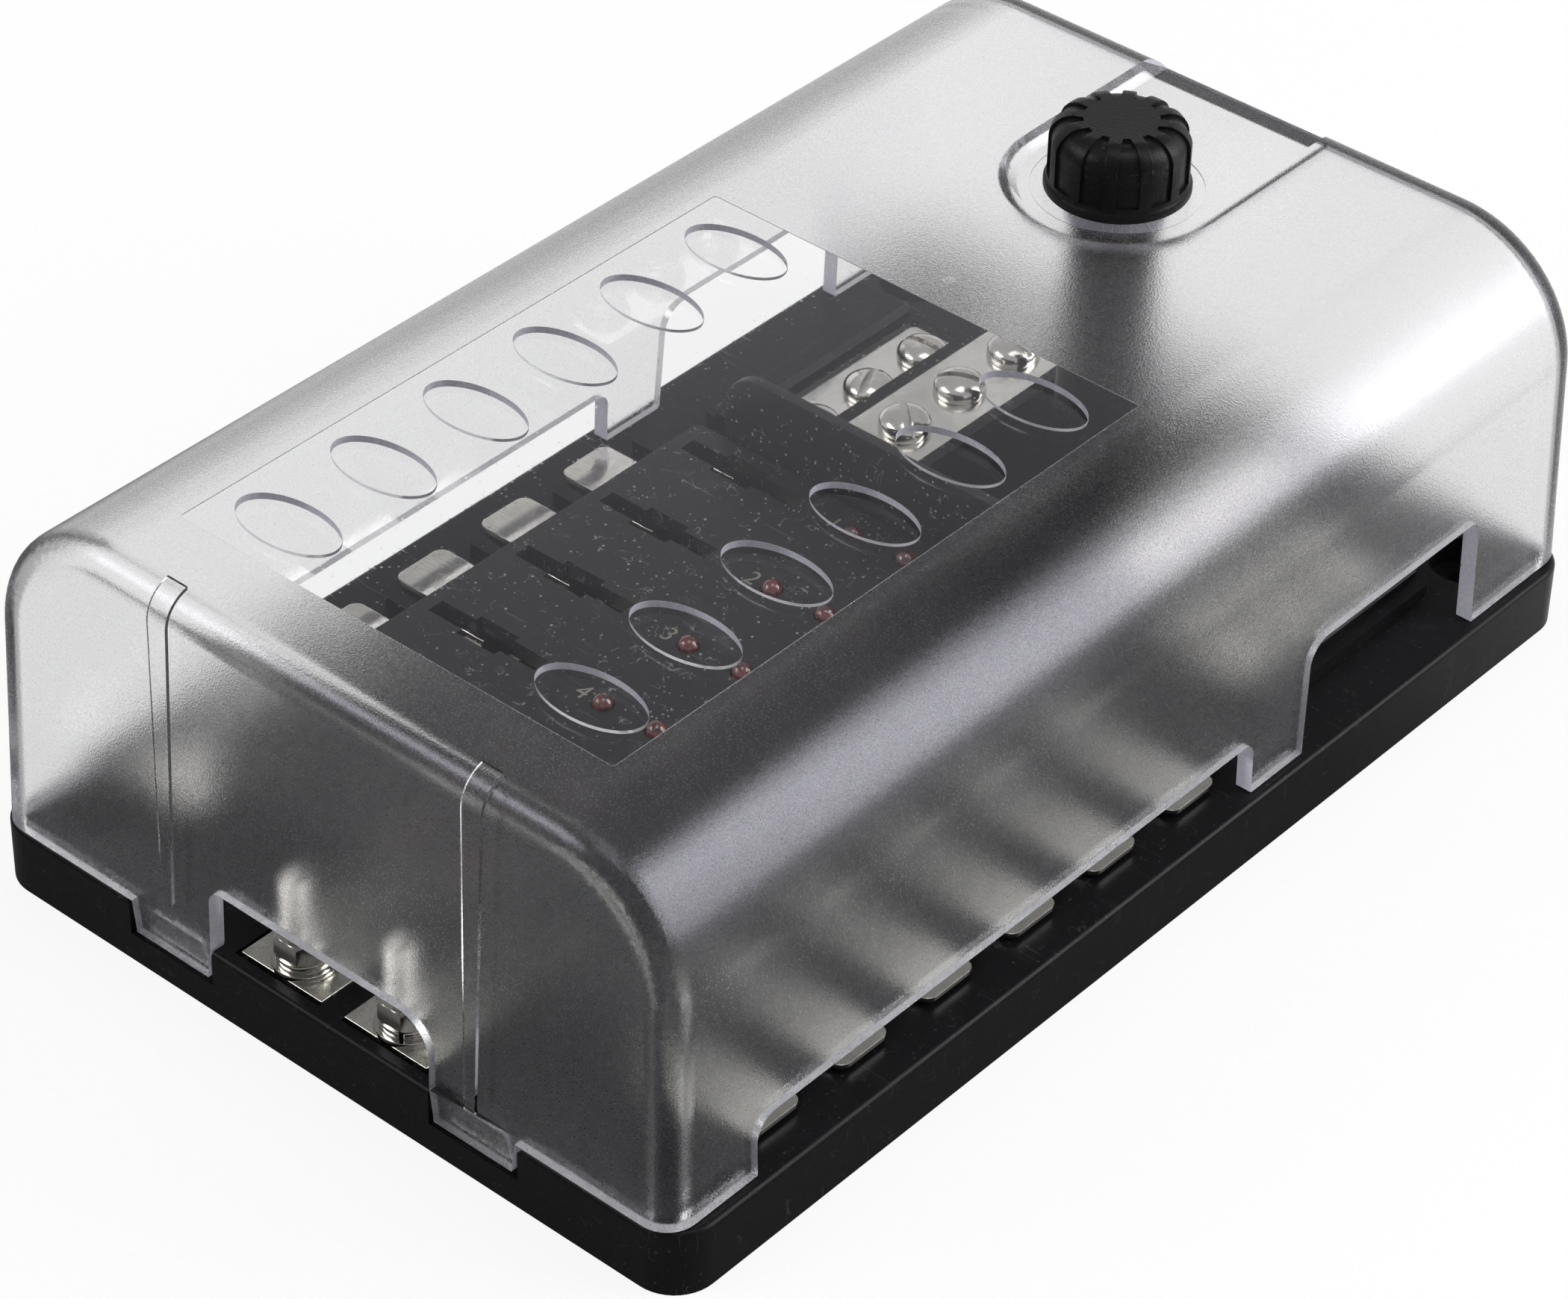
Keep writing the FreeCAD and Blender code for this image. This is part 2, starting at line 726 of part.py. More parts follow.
def make_lamp(y):
    """Right-hand lamp of one circuit: round stem with a domed end in stages."""
    stages = [(lamp_r * math.cos(t), lamp_r * math.sin(t)) for t in map(math.radians, lamp_dome_turns)]
    dome_z = block_top_z + lamp_stand - stages[-1][1]
    pieces = [disc(lamp_x, y, board_top_z, dome_z, lamp_r)]
    for (low_r, low), (high_r, high) in zip(stages, stages[1:]):
        pieces.append(cone(lamp_x, y, dome_z + low, dome_z + high, low_r, high_r))
    return joined(pieces)


def make_lamp_board():
    ends_y = (inside_y[0] + board_gap, inside_y[1] - board_gap)
    return block((-board_half_width, board_half_width), ends_y, (board_z, board_top_z))


def make_resistor(y):
    return block(around(resistor_x, resistor_width / 2), around(y, resistor_length / 2),
                 (board_top_z, board_top_z + resistor_height))


# Cover

def hood(inset):
    """Drafted hood with a barrel roof, moved inwards by inset."""
    draft = math.radians(cover_draft)
    lean = math.tan(draft)
    foot_z = cover_rim_z - (cut_over if inset > 0 else 0)
    drop = (cover_rim_z - foot_z) * lean
    rim = cover_half_width - inset / math.cos(draft) + drop
    r = cover_side_r - inset
    centre_z = cover_roof_z - cover_side_r
    centre_x = rim - (r + (centre_z - foot_z) * math.sin(draft)) / math.cos(draft)

    def on_arc(angle, sign):
        return V(sign * (centre_x + r * math.cos(angle)), 0, centre_z + r * math.sin(angle))

    edges = [Part.LineSegment(V(-rim, 0, foot_z), V(rim, 0, foot_z)).toShape()]
    for sign in (1, -1):
        low, middle, top = [on_arc(a, sign) for a in (draft, (draft + math.pi / 2) / 2, math.pi / 2)]
        edges.append(Part.LineSegment(V(sign * rim, 0, foot_z), low).toShape())
        edges.append(Part.Arc(low, middle, top).toShape())
    edges.append(Part.LineSegment(on_arc(math.pi / 2, 1), on_arc(math.pi / 2, -1)).toShape())
    section = Part.Wire(Part.__sortEdges__(edges))
    barrel = Part.Face(section).extrude(V(0, 4 * half_length, 0))
    barrel.translate(V(0, -2 * half_length, 0))
    above_z = cover_roof_z + cover_wall
    foot_end = cover_half_length - inset / math.cos(draft) + drop
    roof_end = foot_end - (above_z - foot_z) * lean
    body = barrel.common(slab_across([(-foot_end, foot_z), (foot_end, foot_z), (roof_end, above_z),
                                      (-roof_end, above_z)], -half_width, half_width))
    edge_y = foot_end - (above_z - foot_z) * lean
    end_edges = [e for e in body.Edges if abs(e.CenterOfMass.y) > edge_y and e.BoundBox.ZMax > cover_rim_z]
    return body.makeFillet(cover_corner_r - inset, end_edges)


def knob_recess(sink, growth):
    """Sunk U in the roof, open at the back, set lower and wider for its underside."""
    top_z = cover_roof_z + cover_wall
    floor_z = recess_floor_z - sink
    floor_r = recess_floor_r + growth
    top_r = floor_r + (top_z - floor_z) * (recess_roof_r - recess_floor_r) / recess_depth
    bowl = cone(0, knob_y, floor_z, top_z, floor_r, top_r)
    run = slab_along([(-floor_r, floor_z), (floor_r, floor_z), (top_r, top_z), (-top_r, top_z)],
                     knob_y, half_length + cover_wall)
    return bowl.fuse(run)


def arched_face(ends, top_z, radii, slant=0.0):
    """Opening in (a, z) from under the rim, with two rounded top corners."""
    (a, b), (ra, rb) = ends, radii
    foot_z = cover_rim_z - cut_over
    lean = slant / (top_z - foot_z)
    left_foot = V(a - slant, 0, foot_z)
    left_side = V(a - ra * lean, 0, top_z - ra)
    left_arc = V(a + ra * (1 - diagonal), 0, top_z - ra * (1 - diagonal))
    left_top = V(a + ra, 0, top_z)
    right_top = V(b - rb, 0, top_z)
    right_arc = V(b - rb * (1 - diagonal), 0, top_z - rb * (1 - diagonal))
    right_side = V(b, 0, top_z - rb)
    right_foot = V(b, 0, foot_z)
    edges = [Part.LineSegment(left_foot, left_side), Part.Arc(left_side, left_arc, left_top),
             Part.LineSegment(left_top, right_top), Part.Arc(right_top, right_arc, right_side),
             Part.LineSegment(right_side, right_foot), Part.LineSegment(right_foot, left_foot)]
    return Part.Face(Part.Wire([e.toShape() for e in edges]))


def label_recess(y):
    """Oval recess in the window over the right fuse of one circuit."""
    centre = V(slot_x + label_x_shift, y + label_y_shift, cover_roof_z - window_step - label_depth)
    rim = Part.Ellipse(centre, label_half_length, label_half_width)
    return Part.Face(Part.Wire(rim.toShape())).extrude(V(0, 0, label_depth + cover_wall))


def front_cutout():
    face = arched_face((-cutout_half_width, cutout_half_width), deck_z + cutout_height,
                       (cutout_left_r, cutout_right_r))
    cut = face.extrude(V(0, 4 * cover_wall, 0))
    cut.translate(V(0, -half_length - cover_wall, 0))
    return cut


def side_cut(ends, height, slant=0.0):
    """Cable opening through both side walls."""
    face = arched_face(ends, deck_z + height, (opening_near_r, opening_far_r), slant)
    cut = face.extrude(V(0, 2 * half_width, 0)).rotated(V(0, 0, 0), UP, 90)
    cut.translate(V(half_width, 0, 0))
    return cut


def front_tab():
    """Right tab that drops into the base's notch, with its catch."""
    front_y = -cover_half_length
    back_y = front_y + cover_wall
    foot_z = deck_z - front_tab_drop
    top_z = cover_rim_z + join_over
    tab = slab_along([(cutout_half_width, top_z), (front_tab_outer_x, top_z),
                      (front_tab_outer_x - front_tab_taper, foot_z),
                      (cutout_half_width + front_tab_taper, foot_z)], front_y, back_y)
    low_z = foot_z + catch_foot
    high_z = low_z + catch_height
    catch = slab_along([(front_tab_x - catch_bottom_half, low_z), (front_tab_x + catch_bottom_half, low_z),
                        (front_tab_x + catch_top_half, high_z), (front_tab_x - catch_top_half, high_z)],
                       back_y - join_over, back_y + catch_depth)
    return tab.fuse(catch)


def front_rib():
    """Raised rib on the right of the front face that runs over the roof's edge."""
    foot_z = deck_z + front_rib_foot
    top_z = cover_roof_z + cover_wall
    foot_x = around(front_tab_x, front_rib_foot_half)
    roof_x = around(front_tab_x, front_rib_roof_half)
    wedge = slab_along([(foot_x[0], foot_z), (foot_x[1], foot_z), (roof_x[1], top_z), (roof_x[0], top_z)],
                       -half_length - cover_wall, -half_length + front_rib_reach)
    return hood(-front_rib_proud).common(wedge)


def make_cover():
    solid = joined([hood(0)] + both_sides(front_rib()))
    solid = solid.cut(knob_recess(0, 0))
    solid = solid.cut(hood(cover_wall).cut(knob_recess(cover_wall, recess_side_wall)))
    solid = solid.fuse(disc(0, knob_y, cover_boss_z, recess_floor_z - cover_wall / 2, cover_boss_r))
    window_half_width = block_half_width - window_side_gap
    window_y = (block_front_y - window_front_gap, block_back_y + window_back_gap)
    cable_y = (block_front_y - cable_opening_front, block_back_y + cable_opening_back)
    rear_y = (platform_front_y - rear_opening_front, platform_back_y - rear_opening_back)
    top_z = cover_roof_z + cut_over
    cuts = [rounded_box((-window_half_width, window_half_width), window_y,
                        (cover_roof_z - window_step, top_z), window_corner_r),
            front_cutout(),
            side_cut(cable_y, cable_opening_height),
            side_cut(rear_y, rear_opening_height, rear_opening_slant),
            disc(0, knob_y, recess_floor_z - spot_depth, top_z, spot_r),
            disc(0, knob_y, cover_boss_z - cut_over, top_z, cover_boss_hole_r)]
    for y in circuit_y:
        cuts += both_sides(label_recess(y))
    return solid.cut(cuts).fuse(both_sides(front_tab())).removeSplitter()


# Knob, its screw, ring and bush

def turned_knob(inset):
    """Knob's side, shoulder and top as turned, the side and shoulder moved inwards."""
    side_x = knob_body_r - inset
    shoulder_x = knob_body_r - knob_shoulder_r
    shoulder_z = knob_top_z - knob_shoulder_r
    r = knob_shoulder_r - inset
    top = V(shoulder_x, 0, shoulder_z + r)
    side = V(side_x, 0, shoulder_z)
    corners = [top, V(0, 0, top.z), V(0, 0, knob_under_z), V(side_x, 0, knob_under_z), side]
    edges = [Part.LineSegment(a, b).toShape() for a, b in zip(corners, corners[1:])]
    arc_point = V(shoulder_x + r * diagonal, 0, shoulder_z + r * diagonal)
    edges.append(Part.Arc(side, arc_point, top).toShape())
    return Part.Face(Part.Wire(edges)).revolve(V(0, 0, 0), UP, 360)


def make_knob():
    """Knob with ribs that run up its side and shoulder to the flat top."""
    skirt_z = [knob_under_z + h for h in (0, knob_skirt_height / 2, knob_skirt_height, knob_panel_foot)]
    pieces = [turned_knob(knob_panel_depth),
              disc(0, 0, knob_under_z, knob_top_z, knob_face_r),
              disc(0, 0, skirt_z[0], skirt_z[1], knob_skirt_r),
              cone(0, 0, skirt_z[1], skirt_z[2], knob_skirt_r, knob_body_r),
              disc(0, 0, skirt_z[2], skirt_z[3], knob_body_r)]
    rib_reach = (knob_face_r - join_over, knob_skirt_r)
    rib = turned_knob(0).common(block(rib_reach, around(0, knob_rib_width / 2), (skirt_z[2], knob_top_z)))
    pieces += [rib.rotated(V(0, 0, 0), UP, 360 / knob_ribs * k) for k in range(knob_ribs)]
    body = joined(pieces)
    body.translate(V(0, knob_y, 0))
    return body.cut(make_knob_screw())


def make_knob_screw():
    """Screw with a round head moulded into the knob."""
    tip_z = knob_screw_bottom_z + knob_screw_tip
    return joined([disc(0, knob_y, knob_under_z, knob_under_z + knob_screw_head_height, knob_screw_head_r),
                   disc(0, knob_y, tip_z, knob_under_z, knob_screw_r),
                   cone(0, knob_y, knob_screw_bottom_z, tip_z, knob_screw_r - knob_screw_tip, knob_screw_r)])


def make_knob_ring():
    """Retaining ring on the screw, under the cover's boss."""
    top_z = cover_boss_z - ring_gap
    ring = disc(0, knob_y, top_z - ring_height, top_z, ring_r)
    return ring.cut(disc(0, knob_y, knob_screw_bottom_z, knob_under_z, knob_screw_r))


def make_post_insert():
    bush = disc(0, knob_y, insert_z, post_top_z, insert_r)
    return bush.cut(disc(0, knob_y, insert_z - cut_over, post_top_z + cut_over,
                         knob_screw_r + insert_bore_gap))


def save_pair(name, right_shape, ending=""):
    """One node for each side, from the shape of the right side."""
    right, left = both_sides(right_shape)
    save(name + "_right" + ending, right)
    save(name + "_left" + ending, left)


def save_group(name, right_shapes):
    """One node of repeated pieces on both sides."""
    shapes = []
    for shape in right_shapes:
        shapes += both_sides(shape)
    save(name, Part.makeCompound(shapes))


def make_all():
    save("base", make_base())
    save("fuse_block", make_fuse_block())
    save("partition", make_partition())
    for i, y in enumerate(circuit_y):
        right, left = both_sides(make_terminal(y))
        save("circuit_terminal_%d" % (i + 1), left)
        save("circuit_terminal_%d" % (circuits_per_side + i + 1), right)
    save_pair("input_bar", make_input_bar())
    save_pair("input_stud", make_stud())
    save_pair("bus_clips", Part.makeCompound([make_feed_clip(y) for y in circuit_y]))
    save_pair("negative_bar", make_bus_bar(outer_bar_x, outer_bar_y, outer_bar_top_z), "_outer")
    save_pair("negative_bar", make_bus_bar(inner_bar_x, inner_bar_y, inner_bar_top_z), "_inner")
    save_group("stud_flat_washers", [make_flat_washer()])
    save_group("stud_spring_washers", [make_spring_washer()])
    save_group("stud_nuts", [make_nut()])
    save_group("bus_screws", make_bus_screws(outer_bar_x, outer_bar_y, outer_bar_top_z)
               + make_bus_screws(inner_bar_x, inner_bar_y, inner_bar_top_z))
    save("block_screws", Part.makeCompound([make_block_screw(y) for y in block_screw_y]))
    save_group("lamps", [make_lamp(y) for y in circuit_y])
    save("lamp_board", make_lamp_board())
    save_group("lamp_resistors", [make_resistor(y) for y in circuit_y])
    save("cover", make_cover())
    save("knob", make_knob())
    save("knob_screw", make_knob_screw())
    save("knob_ring", make_knob_ring())
    save("post_insert", make_post_insert())


os.makedirs("parts", exist_ok=True)
make_all()
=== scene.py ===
import bmesh
import bpy
import json
import math
from mathutils import Matrix, Vector
from mathutils.bvhtree import BVHTree


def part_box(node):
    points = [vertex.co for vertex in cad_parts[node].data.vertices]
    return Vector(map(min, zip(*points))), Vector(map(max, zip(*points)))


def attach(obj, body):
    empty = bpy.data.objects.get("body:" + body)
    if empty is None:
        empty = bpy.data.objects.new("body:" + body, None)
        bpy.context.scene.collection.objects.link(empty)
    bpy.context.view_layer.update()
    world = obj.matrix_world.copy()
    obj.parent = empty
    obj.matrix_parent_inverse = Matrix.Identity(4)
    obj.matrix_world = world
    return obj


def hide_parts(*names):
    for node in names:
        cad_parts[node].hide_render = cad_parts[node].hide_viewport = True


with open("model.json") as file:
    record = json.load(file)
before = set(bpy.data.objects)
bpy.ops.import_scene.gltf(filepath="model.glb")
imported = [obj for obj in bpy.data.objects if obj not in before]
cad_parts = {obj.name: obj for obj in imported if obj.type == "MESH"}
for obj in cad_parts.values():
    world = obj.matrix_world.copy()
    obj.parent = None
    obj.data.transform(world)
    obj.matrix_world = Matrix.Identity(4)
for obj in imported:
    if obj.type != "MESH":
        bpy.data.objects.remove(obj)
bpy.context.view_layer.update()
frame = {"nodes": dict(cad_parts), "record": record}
print("frame loaded:", len(frame["nodes"]), "nodes")

scene = bpy.context.scene
scene.view_settings.view_transform = "Standard"
mm = 0.001
weld = 0.001 * mm

# Camera: the photograph's viewpoint, slightly rolled
cameraSettings = {
    "place": (0.353690, -0.422989, 0.441839),
    "lookAt": (0.00980, -0.01731, 0.03000),
    "rollDegrees": 1.363,
    "lens": 117.76,
    "sensorWidth": 36.0,
    "clip": (0.01, 20.0),
}


def addCamera(settings):
    data = bpy.data.cameras.new("photoCamera")
    data.lens = settings["lens"]
    data.sensor_width = settings["sensorWidth"]
    data.sensor_fit = "HORIZONTAL"
    data.clip_start, data.clip_end = settings["clip"]
    camera = bpy.data.objects.new("photoCamera", data)
    scene.collection.objects.link(camera)
    place = Vector(settings["place"])
    aim = (Vector(settings["lookAt"]) - place).to_track_quat("-Z", "Y").to_matrix().to_4x4()
    roll = Matrix.Rotation(math.radians(settings["rollDegrees"]), 4, "Z")
    camera.matrix_world = Matrix.Translation(place) @ aim @ roll
    scene.camera = camera


addCamera(cameraSettings)
print("camera set")


# Small helpers for node trees
def newNode(tree, kind, **values):
    node = tree.nodes.new(kind)
    for name, value in values.items():
        setattr(node, name, value)
    return node


def feed(tree, socket, value):
    if isinstance(value, bpy.types.NodeSocket):
        tree.links.new(value, socket)
    else:
        socket.default_value = value


def maths(tree, operation, a, b=None, c=None, clamp=False):
    node = newNode(tree, "ShaderNodeMath", operation=operation, use_clamp=clamp)
    for socket, value in zip(node.inputs, (a, b, c)):
        if value is not None:
            feed(tree, socket, value)
    return node.outputs[0]


def product(tree, result, *factors):
    for factor in factors:
        result = maths(tree, "MULTIPLY", result, factor)
    return result


def remap(tree, value, low, high, newLow=0.0, newHigh=1.0):
    node = newNode(tree, "ShaderNodeMapRange", clamp=True, interpolation_type="SMOOTHSTEP")
    for socket, item in zip(node.inputs[:5], (value, low, high, newLow, newHigh)):
        feed(tree, socket, item)
    return node.outputs[0]


def blendColours(tree, factor, a, b):
    node = newNode(tree, "ShaderNodeMix", data_type="RGBA")
    feed(tree, node.inputs[0], factor)
    feed(tree, node.inputs[6], a)
    feed(tree, node.inputs[7], b)
    return node.outputs[2]


def pick(tree, flag, yes, no):
    node = newNode(tree, "ShaderNodeMix", data_type="FLOAT")
    feed(tree, node.inputs[0], flag)
    feed(tree, node.inputs[2], no)
    feed(tree, node.inputs[3], yes)
    return node.outputs[0]


def reachAlong(tree, place, direction):
    node = newNode(tree, "ShaderNodeVectorMath", operation="DOT_PRODUCT")
    feed(tree, node.inputs[0], place)
    feed(tree, node.inputs[1], direction)
    return node.outputs["Value"]


def turned(tree, place, turn, stretch=(1.0, 1.0, 1.0)):
    node = newNode(tree, "ShaderNodeMapping")
    feed(tree, node.inputs["Vector"], place)
    node.inputs["Rotation"].default_value = (0.0, 0.0, turn)
    node.inputs["Scale"].default_value = stretch
    return node.outputs[0]


def noise(tree, place, scale, detail=2.0, roughness=0.5, distortion=0.0):
    node = newNode(tree, "ShaderNodeTexNoise")
    feed(tree, node.inputs["Vector"], place)
    feed(tree, node.inputs["Scale"], scale)
    feed(tree, node.inputs["Detail"], detail)
    feed(tree, node.inputs["Roughness"], roughness)
    feed(tree, node.inputs["Distortion"], distortion)
    return node.outputs["Fac"]


def startGroup(name, inputs, outputs):
    group = bpy.data.node_groups.new(name, "ShaderNodeTree")
    for label, kind, value in inputs:
        socket = group.interface.new_socket(name=label, in_out="INPUT", socket_type=kind)
        if value is not None:
            socket.default_value = value
    for label, kind in outputs:
        group.interface.new_socket(name=label, in_out="OUTPUT", socket_type=kind)
    given = newNode(group, "NodeGroupInput").outputs
    result = newNode(group, "NodeGroupOutput").inputs
    return group, given, result


def placeGroup(tree, group, **values):
    node = newNode(tree, "ShaderNodeGroup", node_tree=group)
    for label, value in values.items():
        feed(tree, node.inputs[label], value)
    return node.outputs


# Moulded surface: fine grain and slow mottling
def makeGrainGroup():
    group, given, result = startGroup(
        "mouldedGrain",
        [("Place", "NodeSocketVector", None), ("Grain", "NodeSocketFloat", 3000.0)],
        [("Height", "NodeSocketFloat"), ("Mottle", "NodeSocketFloat")])
    place = given["Place"]
    feed(group, result["Height"], noise(group, place, given["Grain"], detail=2.0, roughness=0.55))
    feed(group, result["Mottle"], noise(group, place, scale=70.0, detail=4.0, roughness=0.6))
    return group


# Round specks, curled lint, straight scratches and pale smudges on dark plastic
dustSettings = {
    "speckCells": 1300.0, "speckReach": 0.26, "speckShare": 0.42,
    "lintWaves": 420.0, "lintMiddle": 0.5, "lintWidth": 0.012, "lintCore": 0.4,
    "lintPatches": 330.0, "lintShare": (0.57, 0.62),
    "scratchTurns": (0.35, 1.25, 2.30), "scratchStretch": (55.0, 4200.0, 55.0),
    "scratchShare": (0.76, 0.84), "breakScale": 160.0, "breakShare": (0.55, 0.70),
    "smudgeScale": 75.0, "smudgeShare": (0.56, 0.80),
}


def specksOf(group, place, settings):
    cells = newNode(group, "ShaderNodeTexVoronoi", feature="F1")
    feed(group, cells.inputs["Vector"], place)
    feed(group, cells.inputs["Scale"], settings["speckCells"])
    luck = newNode(group, "ShaderNodeSeparateColor")
    feed(group, luck.inputs[0], cells.outputs["Color"])
    chosen = remap(group, luck.outputs[0], settings["speckShare"], 1.0)
    reach = product(group, chosen, settings["speckReach"])
    inside = maths(group, "LESS_THAN", cells.outputs["Distance"], reach)
    return product(group, inside, luck.outputs[1])


def lintOf(group, place, settings):
    waves = noise(group, place, settings["lintWaves"], detail=1.0, roughness=0.4, distortion=0.8)
    offset = maths(group, "SUBTRACT", waves, settings["lintMiddle"])
    offset = maths(group, "ABSOLUTE", offset)
    width = settings["lintWidth"]
    line = remap(group, offset, width, width * settings["lintCore"])
    patches = noise(group, place, settings["lintPatches"], detail=1.0)
    return product(group, line, remap(group, patches, *settings["lintShare"]))


def scratchesOf(group, place, turn, settings):
    lines = noise(group, turned(group, place, turn, settings["scratchStretch"]), 1.0, detail=0.0)
    breaks = noise(group, turned(group, place, turn), settings["breakScale"], detail=1.0)
    return product(group, remap(group, lines, *settings["scratchShare"]),
                   remap(group, breaks, *settings["breakShare"]))


def makeDustGroup(settings):
    group, given, result = startGroup(
        "surfaceDust",
        [("Place", "NodeSocketVector", None), ("Specks", "NodeSocketFloat", 0.5),
         ("Lint", "NodeSocketFloat", 0.5), ("Scratches", "NodeSocketFloat", 0.5)],
        [("Mask", "NodeSocketFloat"), ("Smudge", "NodeSocketFloat")])
    place = given["Place"]
    marks = product(group, lintOf(group, place, settings), given["Lint"])
    for turn in settings["scratchTurns"]:
        scratches = product(group, scratchesOf(group, place, turn, settings), given["Scratches"])
        marks = maths(group, "MAXIMUM", marks, scratches)
    specks = product(group, specksOf(group, place, settings), given["Specks"])
    feed(group, result["Mask"], maths(group, "MAXIMUM", specks, marks))
    clouds = noise(group, place, settings["smudgeScale"], detail=5.0, roughness=0.7, distortion=0.5)
    feed(group, result["Smudge"], remap(group, clouds, *settings["smudgeShare"]))
    return group


# Bright plating: faint rolling lines, stains and tiny pits
platingSettings = {
    "lineStretch": (260.0, 5200.0, 260.0),
    "pitScale": 2600.0, "pitShare": (0.66, 0.76), "pitDepth": -0.7,
    "stainScale": 330.0, "stainShare": (0.40, 0.72), "stainDarkens": 0.7, "stainRoughens": 0.20,
}


def makePlatingGroup(settings):
    group, given, result = startGroup(
        "brightPlating",
        [("Place", "NodeSocketVector", None), ("Stain", "NodeSocketFloat", 0.5)],
        [("Height", "NodeSocketFloat"), ("Shade", "NodeSocketFloat"),
         ("Roughness", "NodeSocketFloat")])
    place = given["Place"]
    lines = noise(group, turned(group, place, 0.0, settings["lineStretch"]), 1.0, detail=2.0)
    pits = noise(group, place, settings["pitScale"], detail=1.0)
    pits = remap(group, pits, *settings["pitShare"])
    clouds = noise(group, place, settings["stainScale"], detail=5.0, roughness=0.66, distortion=0.5)
    clouds = remap(group, clouds, *settings["stainShare"])
    stain = product(group, maths(group, "MAXIMUM", clouds, pits), given["Stain"])
    feed(group, result["Height"], maths(group, "MULTIPLY_ADD", pits, settings["pitDepth"], lines))
    darker = product(group, stain, settings["stainDarkens"])
    feed(group, result["Shade"], maths(group, "SUBTRACT", 1.0, darker))
    feed(group, result["Roughness"], product(group, stain, settings["stainRoughens"]))
    return group


grainGroup = makeGrainGroup()
dustGroup = makeDustGroup(dustSettings)
platingGroup = makePlatingGroup(platingSettings)
print("shader groups built")


def startMaterial(name):
    material = bpy.data.materials.new(name)
    material.use_nodes = True
    tree = material.node_tree
    shader = tree.nodes["Principled BSDF"]
    place = newNode(tree, "ShaderNodeTexCoord").outputs["Object"]
    return material, tree, shader, place


def addBump(tree, shader, height, strength, depth):
    bump = newNode(tree, "ShaderNodeBump")
    bump.inputs["Strength"].default_value = strength
    bump.inputs["Distance"].default_value = depth
    feed(tree, bump.inputs["Height"], height)
    feed(tree, shader.inputs["Normal"], bump.outputs[0])


# Moulded black plastic
blackSettings = {"mottleShare": (0.3, 0.7), "smudgePales": 0.3, "smudgeRoughens": 0.4,
                 "dustRoughens": 0.3, "bumpDepth": 0.1 * mm}
blackFinishes = {
    "base_black": {"dark": (0.0045, 0.0042, 0.0050, 1), "light": (0.0085, 0.0080, 0.0092, 1),
                   "dust": (0.10, 0.10, 0.105, 1), "gloss": 0.13, "roughness": (0.30, 0.40),
                   "grainScale": 5200.0, "bump": 0.12,
                   "specks": 0.35, "lint": 0.20, "scratches": 0.30, "smudge": 0.10},
    "block_black": {"dark": (0.0125, 0.0125, 0.0135, 1), "light": (0.0185, 0.0185, 0.0200, 1),
                    "dust": (0.42, 0.42, 0.44, 1), "gloss": 0.40, "roughness": (0.42, 0.52),
                    "grainScale": 4200.0, "bump": 0.20,
                    "specks": 1.0, "lint": 0.55, "scratches": 0.25, "smudge": 0.45},
    "knob_black": {"dark": (0.0050, 0.0048, 0.0055, 1), "light": (0.0080, 0.0076, 0.0086, 1),
                   "dust": (0.08, 0.08, 0.085, 1), "gloss": 0.22, "roughness": (0.36, 0.46),
                   "grainScale": 2900.0, "bump": 0.45,
                   "specks": 0.3, "lint": 0.0, "scratches": 0.0, "smudge": 0.0},
}


def blackPlastic(name, look, settings):
    material, tree, shader, place = startMaterial(name)
    grain = placeGroup(tree, grainGroup, Place=place, Grain=look["grainScale"])
    dust = placeGroup(tree, dustGroup, Place=place, Specks=look["specks"], Lint=look["lint"],
                      Scratches=look["scratches"])
    smudge, marks = dust["Smudge"], dust["Mask"]
    colour = blendColours(tree, grain["Mottle"], look["dark"], look["light"])
    paleness = look["smudge"] * settings["smudgePales"]
    pale = maths(tree, "MULTIPLY_ADD", smudge, paleness, marks, clamp=True)
    feed(tree, shader.inputs["Base Color"], blendColours(tree, pale, colour, look["dust"]))
    rough = remap(tree, grain["Mottle"], *settings["mottleShare"], *look["roughness"])
    dulling = look["smudge"] * settings["smudgeRoughens"]
    rough = maths(tree, "MULTIPLY_ADD", smudge, dulling, rough)
    rough = maths(tree, "MULTIPLY_ADD", marks, settings["dustRoughens"], rough, clamp=True)
    feed(tree, shader.inputs["Roughness"], rough)
    shader.inputs["Specular IOR Level"].default_value = look["gloss"]
    addBump(tree, shader, grain["Height"], look["bump"], settings["bumpDepth"])
    return material


# Plated and turned metal
metalSettings = {"bumpDepth": 0.02 * mm}
metalFinishes = {
    "tab_plating": {"dark": (0.30, 0.29, 0.25, 1), "bright": (0.86, 0.84, 0.79, 1),
                    "roughness": 0.08, "stain": 0.45, "bump": 0.35},
    "feed_plating": {"dark": (0.32, 0.31, 0.26, 1), "bright": (0.80, 0.79, 0.72, 1),
                     "roughness": 0.20, "stain": 0.70, "bump": 0.30},
    "bus_plating": {"dark": (0.34, 0.33, 0.29, 1), "bright": (0.74, 0.73, 0.69, 1),
                    "roughness": 0.14, "stain": 0.35, "bump": 0.25},
    "fastener_steel": {"dark": (0.26, 0.24, 0.22, 1), "bright": (0.66, 0.64, 0.61, 1),
                       "roughness": 0.13, "stain": 0.35, "bump": 0.12},
    "brass": {"dark": (0.42, 0.30, 0.12, 1), "bright": (0.80, 0.62, 0.30, 1),
              "roughness": 0.22, "stain": 0.50, "bump": 0.25},
}


